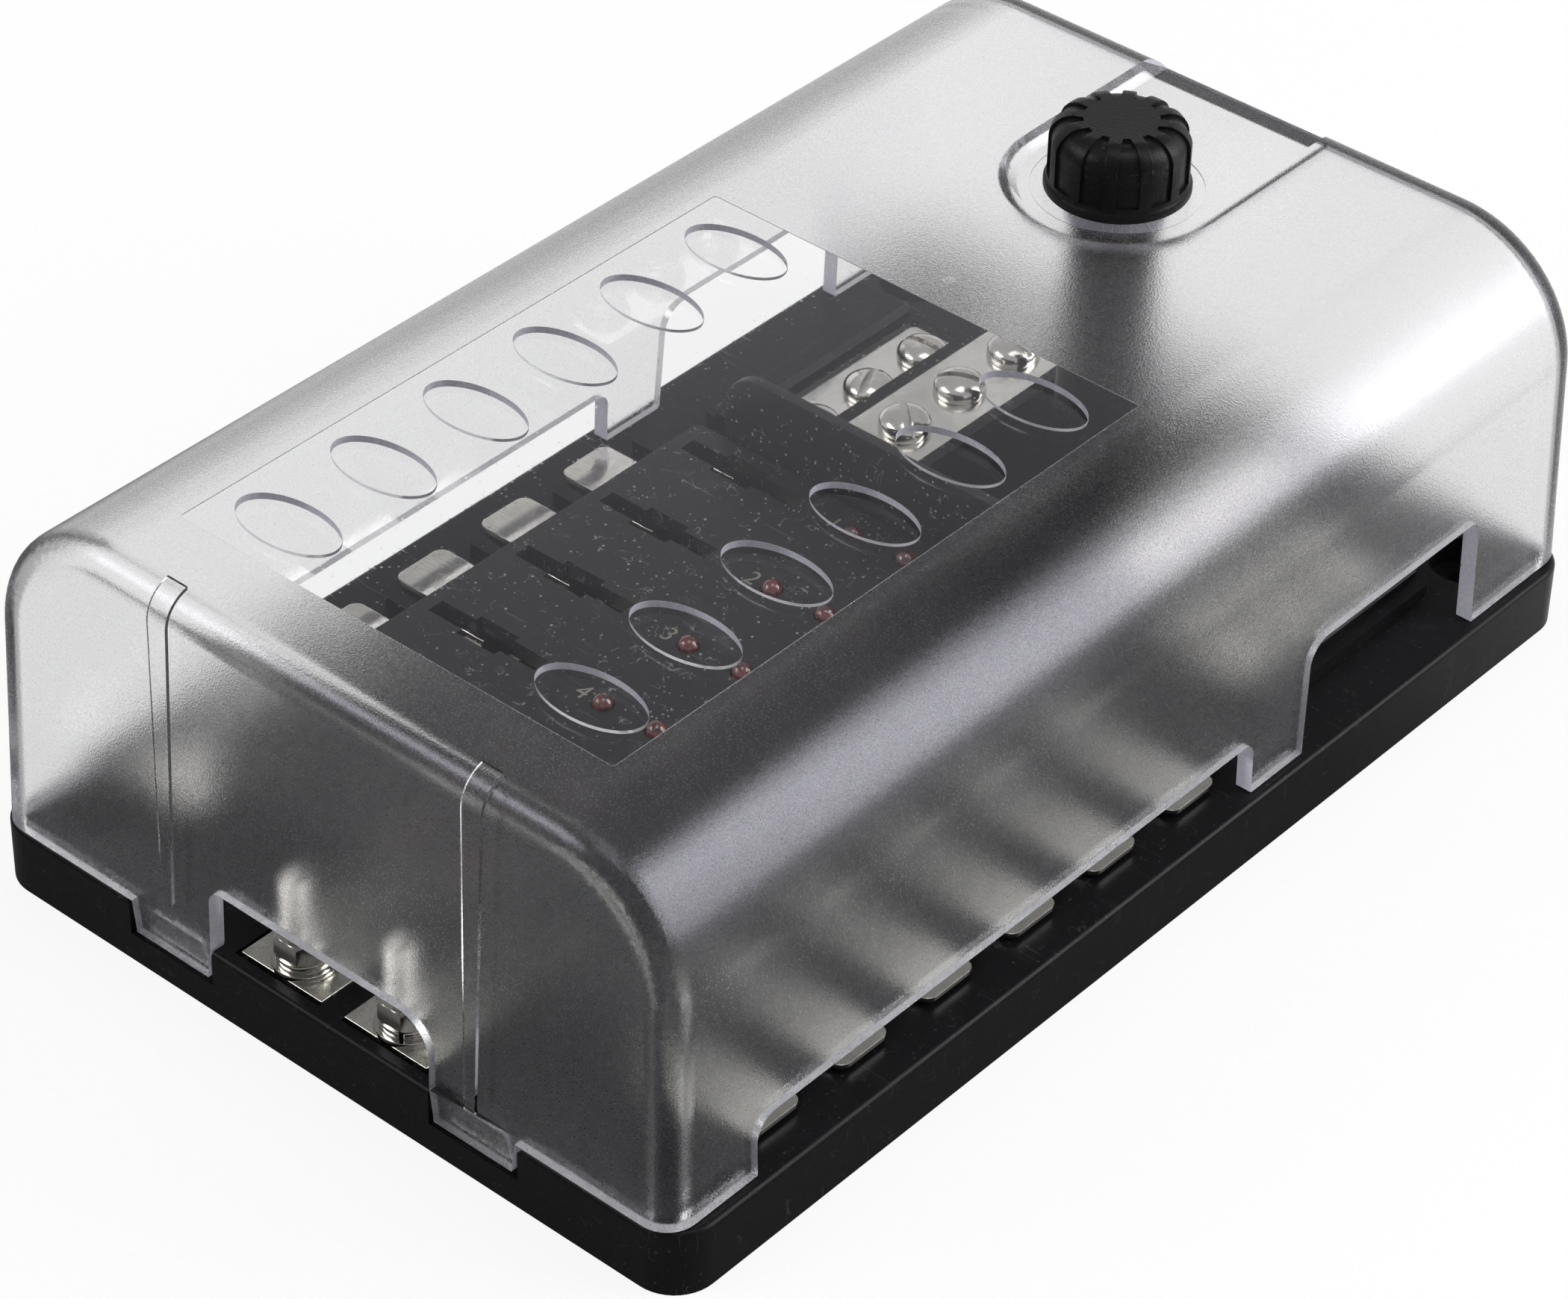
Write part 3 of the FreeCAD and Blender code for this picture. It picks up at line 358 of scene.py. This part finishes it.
def platedMetal(name, look, settings):
    material, tree, shader, place = startMaterial(name)
    plating = placeGroup(tree, platingGroup, Place=place, Stain=look["stain"])
    shader.inputs["Metallic"].default_value = 1.0
    colour = blendColours(tree, plating["Shade"], look["dark"], look["bright"])
    feed(tree, shader.inputs["Base Color"], colour)
    rough = maths(tree, "ADD", plating["Roughness"], look["roughness"])
    feed(tree, shader.inputs["Roughness"], rough)
    addBump(tree, shader, plating["Height"], look["bump"], settings["bumpDepth"])
    return material


# Lamps, board, resistors, printed numbers, and a pale lilac colour painted on the cover's wall
# thickness as a painted sheen of the light its cut edges catch
plainSettings = {"patchShare": (0.42, 0.62), "mottleShare": (0.3, 0.7), "bumpDepth": 0.05 * mm}
plainFinishes = {
    "lamp_red": {"dark": (0.06, 0.003, 0.003, 1), "light": (0.17, 0.012, 0.011, 1),
                 "roughness": (0.10, 0.16), "grainScale": 900.0, "bump": 0.02,
                 "clear": 0.0, "coat": 1.0},
    "board_green": {"dark": (0.010, 0.060, 0.022, 1), "light": (0.016, 0.085, 0.032, 1),
                    "roughness": (0.25, 0.4), "grainScale": 3000.0, "bump": 0.10,
                    "clear": 0.0, "coat": 0.0},
    "resistor_dark": {"dark": (0.012, 0.012, 0.014, 1), "light": (0.022, 0.022, 0.024, 1),
                      "roughness": (0.2, 0.35), "grainScale": 6000.0, "bump": 0.10,
                      "clear": 0.0, "coat": 0.0},
    # Pale lilac colour on the cut faces of the clear walls: a painted sheen, not a milky plastic
    "coverEdgePaintedSheen": {"dark": (0.70, 0.69, 0.80, 1), "light": (0.80, 0.79, 0.88, 1),
                  "roughness": (0.25, 0.4), "grainScale": 2000.0, "bump": 0.10,
                  "clear": 0.55, "coat": 0.0},
    "numberInk": {"dark": (0.22, 0.21, 0.17, 1), "light": (0.32, 0.31, 0.26, 1),
                  "roughness": (0.6, 0.7), "grainScale": 5000.0, "bump": 0.20,
                  "clear": 0.0, "coat": 0.0},
}


def plainPlastic(name, look, settings):
    material, tree, shader, place = startMaterial(name)
    grain = placeGroup(tree, grainGroup, Place=place, Grain=look["grainScale"])
    patches = remap(tree, grain["Height"], *settings["patchShare"])
    colour = blendColours(tree, patches, look["dark"], look["light"])
    feed(tree, shader.inputs["Base Color"], colour)
    rough = remap(tree, grain["Mottle"], *settings["mottleShare"], *look["roughness"])
    feed(tree, shader.inputs["Roughness"], rough)
    shader.inputs["Transmission Weight"].default_value = look["clear"]
    shader.inputs["Coat Weight"].default_value = look["coat"]
    addBump(tree, shader, grain["Height"], look["bump"], settings["bumpDepth"])
    return material


# Clear cover plastic: grained outside, polished inside and in the window
coverLook = {
    "tint": (0.965, 0.965, 0.975, 1), "gleam": (0.70, 0.69, 0.79, 1), "ior": 1.49,
    "frost": 0.240, "frostSpread": 0.035, "grainShare": (0.35, 0.65),
    "grainScale": 3700.0, "bump": 0.55, "bumpDepth": 0.06 * mm,
    "polish": 0.015, "specks": 0.5, "lint": 0.2, "scratches": 0.4, "dustRoughens": 0.25,
}


def clearPlastic(name, look, frosted):
    material, tree, shader, place = startMaterial(name)
    shader.inputs["Base Color"].default_value = look["tint"]
    shader.inputs["Transmission Weight"].default_value = 1.0
    shader.inputs["IOR"].default_value = look["ior"]
    shader.inputs["Specular Tint"].default_value = look["gleam"]
    if frosted:
        grain = placeGroup(tree, grainGroup, Place=place, Grain=look["grainScale"])
        low, high = look["frost"] - look["frostSpread"], look["frost"] + look["frostSpread"]
        rough = remap(tree, grain["Height"], *look["grainShare"], low, high)
        addBump(tree, shader, grain["Height"], look["bump"], look["bumpDepth"])
    else:
        dust = placeGroup(tree, dustGroup, Place=place, Specks=look["specks"], Lint=look["lint"],
                          Scratches=look["scratches"])
        rough = maths(tree, "MULTIPLY_ADD", dust["Mask"], look["dustRoughens"], look["polish"])
    feed(tree, shader.inputs["Roughness"], rough)
    return material


materials = {}
for maker, looks, settings in ((blackPlastic, blackFinishes, blackSettings),
                               (platedMetal, metalFinishes, metalSettings),
                               (plainPlastic, plainFinishes, plainSettings)):
    materials.update({slot: maker(slot, look, settings) for slot, look in looks.items()})
materials["cover_clear"] = clearPlastic("coverFrosted", coverLook, True)
materials["coverPolished"] = clearPlastic("coverPolished", coverLook, False)

slotOfNode = {part["node"]: part["material_slot"] for part in frame["record"]["subparts"]}
for nodeName, node in frame["nodes"].items():
    material = materials[slotOfNode[nodeName]]
    if not node.material_slots:
        node.data.materials.append(material)
    for slotEntry in node.material_slots:
        slotEntry.material = material
print("materials on the CAD nodes")


# Helpers for new pieces
def addPiece(name, bm, materialNames, body, smoothAngle=35.0):
    mesh = bpy.data.meshes.new(name)
    bm.to_mesh(mesh)
    bm.free()
    for materialName in materialNames:
        mesh.materials.append(materials[materialName])
    mesh.shade_smooth()
    mesh.set_sharp_from_angle(angle=math.radians(smoothAngle))
    piece = bpy.data.objects.new(name, mesh)
    scene.collection.objects.link(piece)
    weighted = piece.modifiers.new("weightedNormals", "WEIGHTED_NORMAL")
    weighted.keep_sharp = True
    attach(piece, body)
    return piece


def mergedCopy(nodeName):
    bm = bmesh.new()
    bm.from_mesh(frame["nodes"][nodeName].data)
    bmesh.ops.remove_doubles(bm, verts=bm.verts, dist=2 * weld)
    bmesh.ops.dissolve_degenerate(bm, edges=bm.edges, dist=2 * weld)
    return bm


def joinFlats(bm, angle, delimit):
    bmesh.ops.dissolve_limit(bm, angle_limit=math.radians(angle), use_dissolve_boundaries=False,
                             verts=bm.verts, edges=bm.edges, delimit=delimit)


def softenEdges(bm, width, segments, edgeAngle):
    least = math.radians(edgeAngle)
    sharp = [e for e in bm.edges if len(e.link_faces) == 2 and e.calc_face_angle() > least]
    bmesh.ops.bevel(bm, geom=sharp, offset=width, offset_type="OFFSET", affect="EDGES",
                    segments=segments, profile=0.5, material=-1, clamp_overlap=True)


def spinProfile(bm, corners, centre, steps=40):
    verts = [bm.verts.new((centre[0] + r, centre[1], z)) for r, z in corners]
    edges = [bm.edges.new(pair) for pair in zip(verts, verts[1:])]
    bmesh.ops.spin(bm, geom=verts + edges, cent=(centre[0], centre[1], 0), axis=(0, 0, 1),
                   dvec=(0, 0, 0), angle=math.tau, steps=steps, use_merge=True)


def closeForm(bm, distance):
    bmesh.ops.remove_doubles(bm, verts=bm.verts, dist=distance)
    bmesh.ops.recalc_face_normals(bm, faces=bm.faces)


def cutAcross(bm, point, normal, tolerance, **clear):
    bmesh.ops.bisect_plane(bm, geom=bm.verts[:] + bm.edges[:] + bm.faces[:], dist=tolerance,
                           plane_co=point, plane_no=normal, **clear)


# Cover: a copy of the CAD cover with its faces sorted by finish and its edges softened.
# Lengths are in metres
coverSettings = {
    "thinnest": 0.0012, "thickest": 0.0037, "probe": 0.01 * mm,
    "windowX": 0.0368, "windowY": (-0.0796, 0.0208), "windowZ": 0.0605, "roofZ": 0.0590,
    "leastRise": -0.005, "flatAngle": 0.6, "edgeAngle": 38.0, "edgeWidth": 0.16 * mm,
    "edgeSegments": 2, "smoothAngle": 30.0,
    # The third finish paints the wall thickness with a pale lilac painted sheen
    "finishes": ("cover_clear", "coverPolished", "coverEdgePaintedSheen"),
}


# Finish of a face, as its place in "finishes". The plastic behind the face is measured: more
# than a wall means that the face is the thickness of a wall
def coverFinish(tree, face, settings):
    centre = face.calc_center_median()
    step = face.normal * settings["probe"]
    x, y, z = centre
    depth = tree.ray_cast(centre - step, -face.normal)[3]
    if depth is None or depth > settings["thickest"]:
        # Faces across the wall's thickness take the pale lilac painted sheen
        return 2
    firstY, lastY = settings["windowY"]
    inWindow = abs(x) < settings["windowX"] and firstY < y < lastY
    if face.normal.z < settings["leastRise"] or (inWindow and z > settings["windowZ"]):
        return 1
    if z < settings["roofZ"] and tree.ray_cast(centre + step, face.normal)[0] is not None:
        return 1
    return 0 if depth > settings["thinnest"] else 1


def makeCoverShell(settings):
    bm = mergedCopy("cover")
    bm.normal_update()
    tree = BVHTree.FromBMesh(bm)
    for face in bm.faces:
        face.material_index = coverFinish(tree, face, settings)
    joinFlats(bm, settings["flatAngle"], {"MATERIAL"})
    softenEdges(bm, settings["edgeWidth"], settings["edgeSegments"], settings["edgeAngle"])
    piece = addPiece("coverShell", bm, settings["finishes"], "lid",
                     settings["smoothAngle"])
    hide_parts("cover")


makeCoverShell(coverSettings)
print("cover shell made")


# Moulded and pressed pieces: copies with softened edges. Widths are in millimetres
softSettings = {
    "flatAngle": 0.6, "edgeAngle": 38.0, "smoothAngle": 32.0,
    "segments": 2, "moreSegments": {"base": 3},
    "widths": {
        "base": 0.30, "fuse_block": 0.14, "partition": 0.30, "stud_nuts": 0.16,
        "stud_flat_washers": 0.07, "stud_spring_washers": 0.07,
        "input_bar_left": 0.12, "input_bar_right": 0.12,
        "negative_bar_left_outer": 0.12, "negative_bar_left_inner": 0.12,
        "negative_bar_right_outer": 0.12, "negative_bar_right_inner": 0.12,
        **{f"circuit_terminal_{number}": 0.12 for number in range(1, 13)},
    },
}


def makeSoftCopies(settings):
    for nodeName, width in settings["widths"].items():
        bm = mergedCopy(nodeName)
        joinFlats(bm, settings["flatAngle"], set())
        segments = settings["moreSegments"].get(nodeName, settings["segments"])
        softenEdges(bm, width * mm, segments, settings["edgeAngle"])
        slot = slotOfNode[nodeName]
        piece = addPiece(nodeName + "Soft", bm, (slot,), "box", settings["smoothAngle"])
        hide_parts(nodeName)


makeSoftCopies(softSettings)
print("soft copies made")


# Knob: a copy of the CAD knob with softened ribs and panels
knobSettings = {"flatAngle": 0.6, "edgeAngle": 38.0, "edgeWidth": 0.14 * mm, "edgeSegments": 2,
                "smoothAngle": 32.0}


def makeKnobGrip(settings):
    bm = mergedCopy("knob")
    joinFlats(bm, settings["flatAngle"], set())
    softenEdges(bm, settings["edgeWidth"], settings["edgeSegments"], settings["edgeAngle"])
    piece = addPiece("knobGrip", bm, ("knob_black",), "knob",
                     settings["smoothAngle"])
    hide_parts("knob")


makeKnobGrip(knobSettings)
print("knob made")


# Lamps: glossy domes on their stems. Lengths are in millimetres
lampSettings = {"x": 4.75, "radius": 1.50, "rows": 6, "pitch": 16.8, "backY": 13.8,
                "domeHeight": 1.45, "rings": 7, "steps": 28, "smoothAngle": 50.0}


def makeLampDomes(settings):
    low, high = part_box("lamps")
    bm = bmesh.new()
    r = settings["radius"] * mm
    h = settings["domeHeight"] * mm
    rings = settings["rings"]
    turns = [math.pi / 2 * k / rings for k in range(rings + 1)]
    dome = [(r * math.sin(t), high[2] - h + h * math.cos(t)) for t in turns]
    profile = dome + [(r, low[2]), (0.0, low[2])]
    for row in range(settings["rows"]):
        y = (settings["backY"] - settings["pitch"] * row) * mm
        for side in (-1, 1):
            spinProfile(bm, profile, (side * settings["x"] * mm, y), settings["steps"])
    closeForm(bm, weld)
    piece = addPiece("lampDomes", bm, ("lamp_red",), "box", settings["smoothAngle"])
    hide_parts("lamps")


makeLampDomes(lampSettings)
print("lamps made")


# Bus screws: slotted domed heads on plain shanks. Lengths are in millimetres
busScrewSettings = {
    "bars": ((36.25, 42.6, 11.2), (21.05, 44.6, 17.6)), "screwsPerBar": 3, "pitch": 12.25,
    "turnDegrees": (62, 20, 95, 48, 118, 80, 30, 75, 12, 100, 55, 140),
    "headRadius": 3.9, "headHeight": 2.7, "rimHeight": 0.55,
    "shankRadius": 2.0, "shankLength": 6.0, "slotWidth": 1.1, "slotDepth": 1.25,
    "domeRings": 8, "domePower": 0.85, "steps": 36, "mergeGap": 0.001, "cutGap": 0.0005,
    "edgeWidth": 0.12, "edgeSegments": 2, "edgeAngle": 40.0, "smoothAngle": 42.0,
}


def cutScrewSlot(bm, half, floorZ, settings):
    cuts = (((half, 0, 0), (1, 0, 0)), ((-half, 0, 0), (1, 0, 0)), ((0, 0, floorZ), (0, 0, 1)))
    for point, normal in cuts:
        cutAcross(bm, point, normal, settings["cutGap"])
    middles = [(face, face.calc_center_median()) for face in bm.faces]
    strip = [face for face, middle in middles
             if abs(middle.x) < half and middle.z > floorZ + settings["mergeGap"]]
    lowered = bmesh.ops.extrude_face_region(bm, geom=strip)["geom"]
    bmesh.ops.delete(bm, geom=strip, context="FACES")
    for item in lowered:
        if isinstance(item, bmesh.types.BMVert):
            item.co.z = floorZ


def busScrew(settings, place, turn):
    bm = bmesh.new()
    top, rim = settings["headHeight"], settings["rimHeight"]
    reach, shank = settings["headRadius"], settings["shankRadius"]
    end = -settings["shankLength"]
    profile = []
    for k in range(settings["domeRings"] + 1):
        t = math.pi / 2 * k / settings["domeRings"]
        rise = math.cos(t) ** settings["domePower"]
        profile.append((reach * math.sin(t), rim + (top - rim) * rise))
    profile += [(reach, 0.0), (shank, 0.0), (shank, end), (0.0, end)]
    spinProfile(bm, profile, (0.0, 0.0), settings["steps"])
    closeForm(bm, settings["mergeGap"])
    cutScrewSlot(bm, settings["slotWidth"] / 2, top - settings["slotDepth"], settings)
    bmesh.ops.remove_doubles(bm, verts=bm.verts, dist=settings["mergeGap"])
    bmesh.ops.dissolve_degenerate(bm, edges=bm.edges, dist=settings["mergeGap"])
    bmesh.ops.recalc_face_normals(bm, faces=bm.faces)
    spun = Matrix.Rotation(math.radians(turn), 4, "Z") @ Matrix.Scale(mm, 4)
    bmesh.ops.transform(bm, matrix=Matrix.Translation(Vector(place) * mm) @ spun, verts=bm.verts)
    return bm


def makeBusScrews(settings):
    steps = [settings["pitch"] * k for k in range(settings["screwsPerBar"])]
    places = [(side * x, firstY + step, z)
              for side in (-1, 1) for x, firstY, z in settings["bars"] for step in steps]
    whole = bmesh.new()
    for place, turn in zip(places, settings["turnDegrees"]):
        screw = busScrew(settings, place, turn)
        mesh = bpy.data.meshes.new("screwForm")
        screw.to_mesh(mesh)
        screw.free()
        whole.from_mesh(mesh)
        bpy.data.meshes.remove(mesh)
    softenEdges(whole, settings["edgeWidth"] * mm, settings["edgeSegments"],
                settings["edgeAngle"])
    piece = addPiece("busScrewHeads", whole, ("fastener_steel",), "box",
                     settings["smoothAngle"])
    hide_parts("bus_screws")


makeBusScrews(busScrewSettings)
print("bus screws made")


# Input studs: hexagonal head under the deck, rolled thread above. Lengths are in millimetres
studSettings = {
    "x": 9.2, "y": -87.5, "pitch": 0.7, "outer": 2.0, "root": 1.66, "core": 1.77,
    "crest": (0.32, 0.44), "flankEnd": 0.76, "leadTurns": 1.5, "spareTurns": 3,
    "headZ": (3.9, 6.5), "headRadius": 4.04, "headTurn": 30.0,
    "threadZ": (15.3, 24.7), "threadSink": 0.3, "tipZ": 26.0, "tipRadius": 0.95,
    "coreGap": 0.02, "tipSink": 0.05, "steps": 28, "mergeGap": 0.0005, "cutGap": 0.0001,
    "smoothAngle": 40.0,
}


def studThread(bm, settings, x):
    low, high = settings["threadZ"]
    pitch, root, outer = settings["pitch"], settings["root"], settings["outer"]
    crestStart, crestEnd = settings["crest"]
    corners = []
    for k in range(int((high - low) / pitch) + settings["spareTurns"]):
        z = low + (k - settings["leadTurns"]) * pitch
        corners += [(root, z), (outer, z + crestStart * pitch), (outer, z + crestEnd * pitch),
                    (root, z + settings["flankEnd"] * pitch)]
    verts = [bm.verts.new((x + r, settings["y"], z)) for r, z in corners]
    edges = [bm.edges.new(pair) for pair in zip(verts, verts[1:])]
    bmesh.ops.spin(bm, geom=verts + edges, cent=(x, settings["y"], 0), axis=(0, 0, 1),
                   dvec=(0, 0, pitch / settings["steps"]), angle=math.tau,
                   steps=settings["steps"], use_merge=False)
    bmesh.ops.remove_doubles(bm, verts=bm.verts, dist=settings["mergeGap"])
    cutAcross(bm, (0, 0, low - settings["threadSink"]), (0, 0, 1), settings["cutGap"],
              clear_inner=True)
    cutAcross(bm, (0, 0, high), (0, 0, 1), settings["cutGap"], clear_outer=True)
    bmesh.ops.holes_fill(bm, edges=[e for e in bm.edges if len(e.link_faces) == 1], sides=0)


def makeStud(name, nodeName, settings, side):
    x, y = side * settings["x"], settings["y"]
    (headLow, headHigh), (threadLow, threadHigh) = settings["headZ"], settings["threadZ"]
    bm = bmesh.new()
    studThread(bm, settings, x)
    inner = settings["root"] - settings["coreGap"]
    core, tipZ = settings["core"], settings["tipZ"]
    spinProfile(bm, [(0.0, tipZ), (settings["tipRadius"], tipZ),
                     (inner, threadHigh - settings["tipSink"]), (inner, threadLow),
                     (core, threadLow), (core, headHigh), (0.0, headHigh)],
                (x, y), settings["steps"])
    radius = settings["headRadius"]
    head = bmesh.ops.create_cone(bm, cap_ends=True, segments=6, radius1=radius, radius2=radius,
                                 depth=headHigh - headLow)["verts"]
    turn = Matrix.Rotation(math.radians(settings["headTurn"]), 3, "Z")
    bmesh.ops.rotate(bm, verts=head, cent=(0, 0, 0), matrix=turn)
    bmesh.ops.translate(bm, verts=head, vec=(x, y, (headLow + headHigh) / 2))
    closeForm(bm, settings["mergeGap"])
    bmesh.ops.scale(bm, verts=bm.verts, vec=(mm, mm, mm))
    piece = addPiece(name, bm, ("fastener_steel",), "box",
                     settings["smoothAngle"])
    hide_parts(nodeName)


makeStud("inputStudLeft", "input_stud_left", studSettings, -1)
makeStud("inputStudRight", "input_stud_right", studSettings, 1)
print("studs made")


# Slot numbers printed on the fuse block. Lengths are in millimetres
numberSettings = {"height": 3.0, "capShare": 0.72, "widen": 0.92, "x": 8.3, "backY": 13.8,
                  "pitch": 16.8, "rows": 6, "thickness": 0.03, "extrude": 0.005,
                  "curveSteps": 6}


def numberMesh(label, settings):
    text = bpy.data.curves.new("number", "FONT")
    text.body = label
    text.size = 1.0
    text.align_x = "CENTER"
    text.align_y = "CENTER"
    text.extrude = settings["extrude"]
    text.resolution_u = settings["curveSteps"]
    holder = bpy.data.objects.new("number", text)
    mesh = bpy.data.meshes.new_from_object(holder)
    bpy.data.objects.remove(holder)
    bpy.data.curves.remove(text)
    return mesh


def makeSlotNumbers(settings):
    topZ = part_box("fuse_block")[1][2]
    size = settings["height"] / settings["capShare"] * mm
    thickness = settings["thickness"] * mm
    shape = Matrix.Diagonal((size * settings["widen"], size,
                             thickness / (2 * settings["extrude"]), 1))
    whole = bmesh.new()
    for row in range(settings["rows"]):
        y = (settings["backY"] - settings["pitch"] * row) * mm
        for side, number in ((-1, row + 1), (1, row + 1 + settings["rows"])):
            mesh = numberMesh(str(number), settings)
            place = (side * settings["x"] * mm, y, topZ + thickness / 2)
            mesh.transform(Matrix.Translation(place) @ shape)
            whole.from_mesh(mesh)
            bpy.data.meshes.remove(mesh)
    bmesh.ops.remove_doubles(whole, verts=whole.verts, dist=weld)
    addPiece("slotNumbers", whole, ("numberInk",), "box")


makeSlotNumbers(numberSettings)

# Gate mark of the moulding, behind the window. Lengths are in millimetres
gateSettings = {
    "place": (0.0, 26.5), "roofZ": 62.25,
    "profile": ((0.0, 0.03), (0.62, 0.03), (0.75, 0.07), (0.88, 0.03), (0.95, 0.0),
                (0.95, -0.05), (0.0, -0.05)),
}


def makeGateMark(settings):
    bm = bmesh.new()
    profile = [(r * mm, (settings["roofZ"] + z) * mm) for r, z in settings["profile"]]
    spinProfile(bm, profile, [value * mm for value in settings["place"]])
    closeForm(bm, weld)
    addPiece("gateMark", bm, ("cover_clear",), "lid")


makeGateMark(gateSettings)
print("numbers and gate mark made")


# Floor, backdrop and lights. The camera and what it sees through the cover find them white.
# Mirrored rays find the near side of the studio dim and the far side bright, and so does what
# the back of a wall mirrors: the walls stay as dark as in the photograph
stageSettings = {
    "floorSize": 6.0, "floorColour": (0.86, 0.86, 0.86, 1), "floorRoughness": 0.9,
    "farSide": (-0.25, 0.968, 0.0), "fill": 0.50, "backOfWallShare": 0.42,
    "glowForCamera": 0.86, "glowThroughCover": 0.93, "glowInGloss": 0.85,
    "floorInGloss": (0.10, 0.95), "floorReach": (0.02, 0.11),
    "horizonHeight": (0.02, 0.30), "overheadThroughCover": 0.50,
    "backdropHeight": (0.50, 0.66), "backdropReach": (-0.1, 0.5), "backdropInGloss": 1.0,
    "overheadInGloss": 0.12,
    "lights": (
        ("rightStripWide", (0.70, 0.57, 0.56), (0.03, 0.0, 0.04), (0.62, 0.95), 5.6),
        ("rightStripNarrow", (0.68, 0.60, 0.545), (0.03, 0.0, 0.04), (0.26, 0.80), 2.2),
        ("frontLeftSoftbox", (-0.58, -0.68, 0.72), (0.0, -0.03, 0.04), (0.70, 0.42), 4.2),
        ("overheadSoftbox", (0.15, 0.0, 1.10), (0.0, 0.0, 0.0), (0.5, 0.5), 2.0),
    ),
}


# A ray that the back of a wall mirrored has passed through that wall's two surfaces only
def backOfWallDimming(tree, path, settings):
    mirrored = maths(tree, "GREATER_THAN", path["Glossy Depth"], 0.5)
    oneWall = maths(tree, "LESS_THAN", path["Transmission Depth"], 2.5)
    return pick(tree, product(tree, mirrored, oneWall), settings["backOfWallShare"], 1.0)


def addWorld(settings):
    world = bpy.data.worlds.new("studio")
    world.use_nodes = True
    scene.world = world
    tree = world.node_tree
    path = newNode(tree, "ShaderNodeLightPath").outputs
    direction = newNode(tree, "ShaderNodeTexCoord").outputs["Generated"]
    height = reachAlong(tree, direction, (0.0, 0.0, 1.0))
    through = remap(tree, height, *settings["horizonHeight"], 1.0,
                    settings["overheadThroughCover"])
    through = product(tree, through, backOfWallDimming(tree, path, settings))
    overhead = settings["overheadInGloss"]
    behind = remap(tree, reachAlong(tree, direction, settings["farSide"]),
                   *settings["backdropReach"], overhead, settings["backdropInGloss"])
    gloss = remap(tree, height, *settings["backdropHeight"], behind, overhead)
    level = pick(tree, path["Is Glossy Ray"], gloss, settings["fill"])
    level = pick(tree, path["Is Transmission Ray"], through, level)
    level = pick(tree, path["Is Camera Ray"], 1.0, level)
    background = tree.nodes["Background"]
    background.inputs["Color"].default_value = (1, 1, 1, 1)
    feed(tree, background.inputs["Strength"], level)


def floorMaterial(settings):
    material, tree, shader, place = startMaterial("floorPaper")
    shader.inputs["Base Color"].default_value = settings["floorColour"]
    shader.inputs["Roughness"].default_value = settings["floorRoughness"]
    path = newNode(tree, "ShaderNodeLightPath").outputs
    share = product(tree, path["Is Glossy Ray"], settings["glowInGloss"])
    share = pick(tree, path["Is Transmission Ray"], settings["glowThroughCover"], share)
    share = pick(tree, path["Is Camera Ray"], settings["glowForCamera"], share)
    gloss = remap(tree, reachAlong(tree, place, settings["farSide"]), *settings["floorReach"],
                  *settings["floorInGloss"])
    level = pick(tree, path["Is Glossy Ray"], gloss, 1.0)
    dimmed = backOfWallDimming(tree, path, settings)
    level = pick(tree, path["Is Transmission Ray"], dimmed, level)
    glow = newNode(tree, "ShaderNodeEmission")
    glow.inputs["Color"].default_value = (1, 1, 1, 1)
    feed(tree, glow.inputs["Strength"], level)
    mix = newNode(tree, "ShaderNodeMixShader")
    feed(tree, mix.inputs[0], share)
    feed(tree, mix.inputs[1], shader.outputs[0])
    feed(tree, mix.inputs[2], glow.outputs[0])
    feed(tree, tree.nodes["Material Output"].inputs["Surface"], mix.outputs[0])
    return material


def addFloor(settings):
    bm = bmesh.new()
    bmesh.ops.create_grid(bm, x_segments=1, y_segments=1, size=settings["floorSize"] / 2)
    mesh = bpy.data.meshes.new("floor")
    bm.to_mesh(mesh)
    bm.free()
    mesh.materials.append(floorMaterial(settings))
    floor = bpy.data.objects.new("floor", mesh)
    scene.collection.objects.link(floor)


def addLights(settings):
    for name, place, aim, size, power in settings["lights"]:
        data = bpy.data.lights.new(name, "AREA")
        data.shape = "RECTANGLE"
        data.size, data.size_y = size
        data.energy = power
        softbox = bpy.data.objects.new(name, data)
        scene.collection.objects.link(softbox)
        softbox.location = place
        aimed = (Vector(aim) - Vector(place)).to_track_quat("-Z", "Y")
        softbox.rotation_euler = aimed.to_euler()


addWorld(stageSettings)
addFloor(stageSettings)
addLights(stageSettings)
print("stage and lights set")
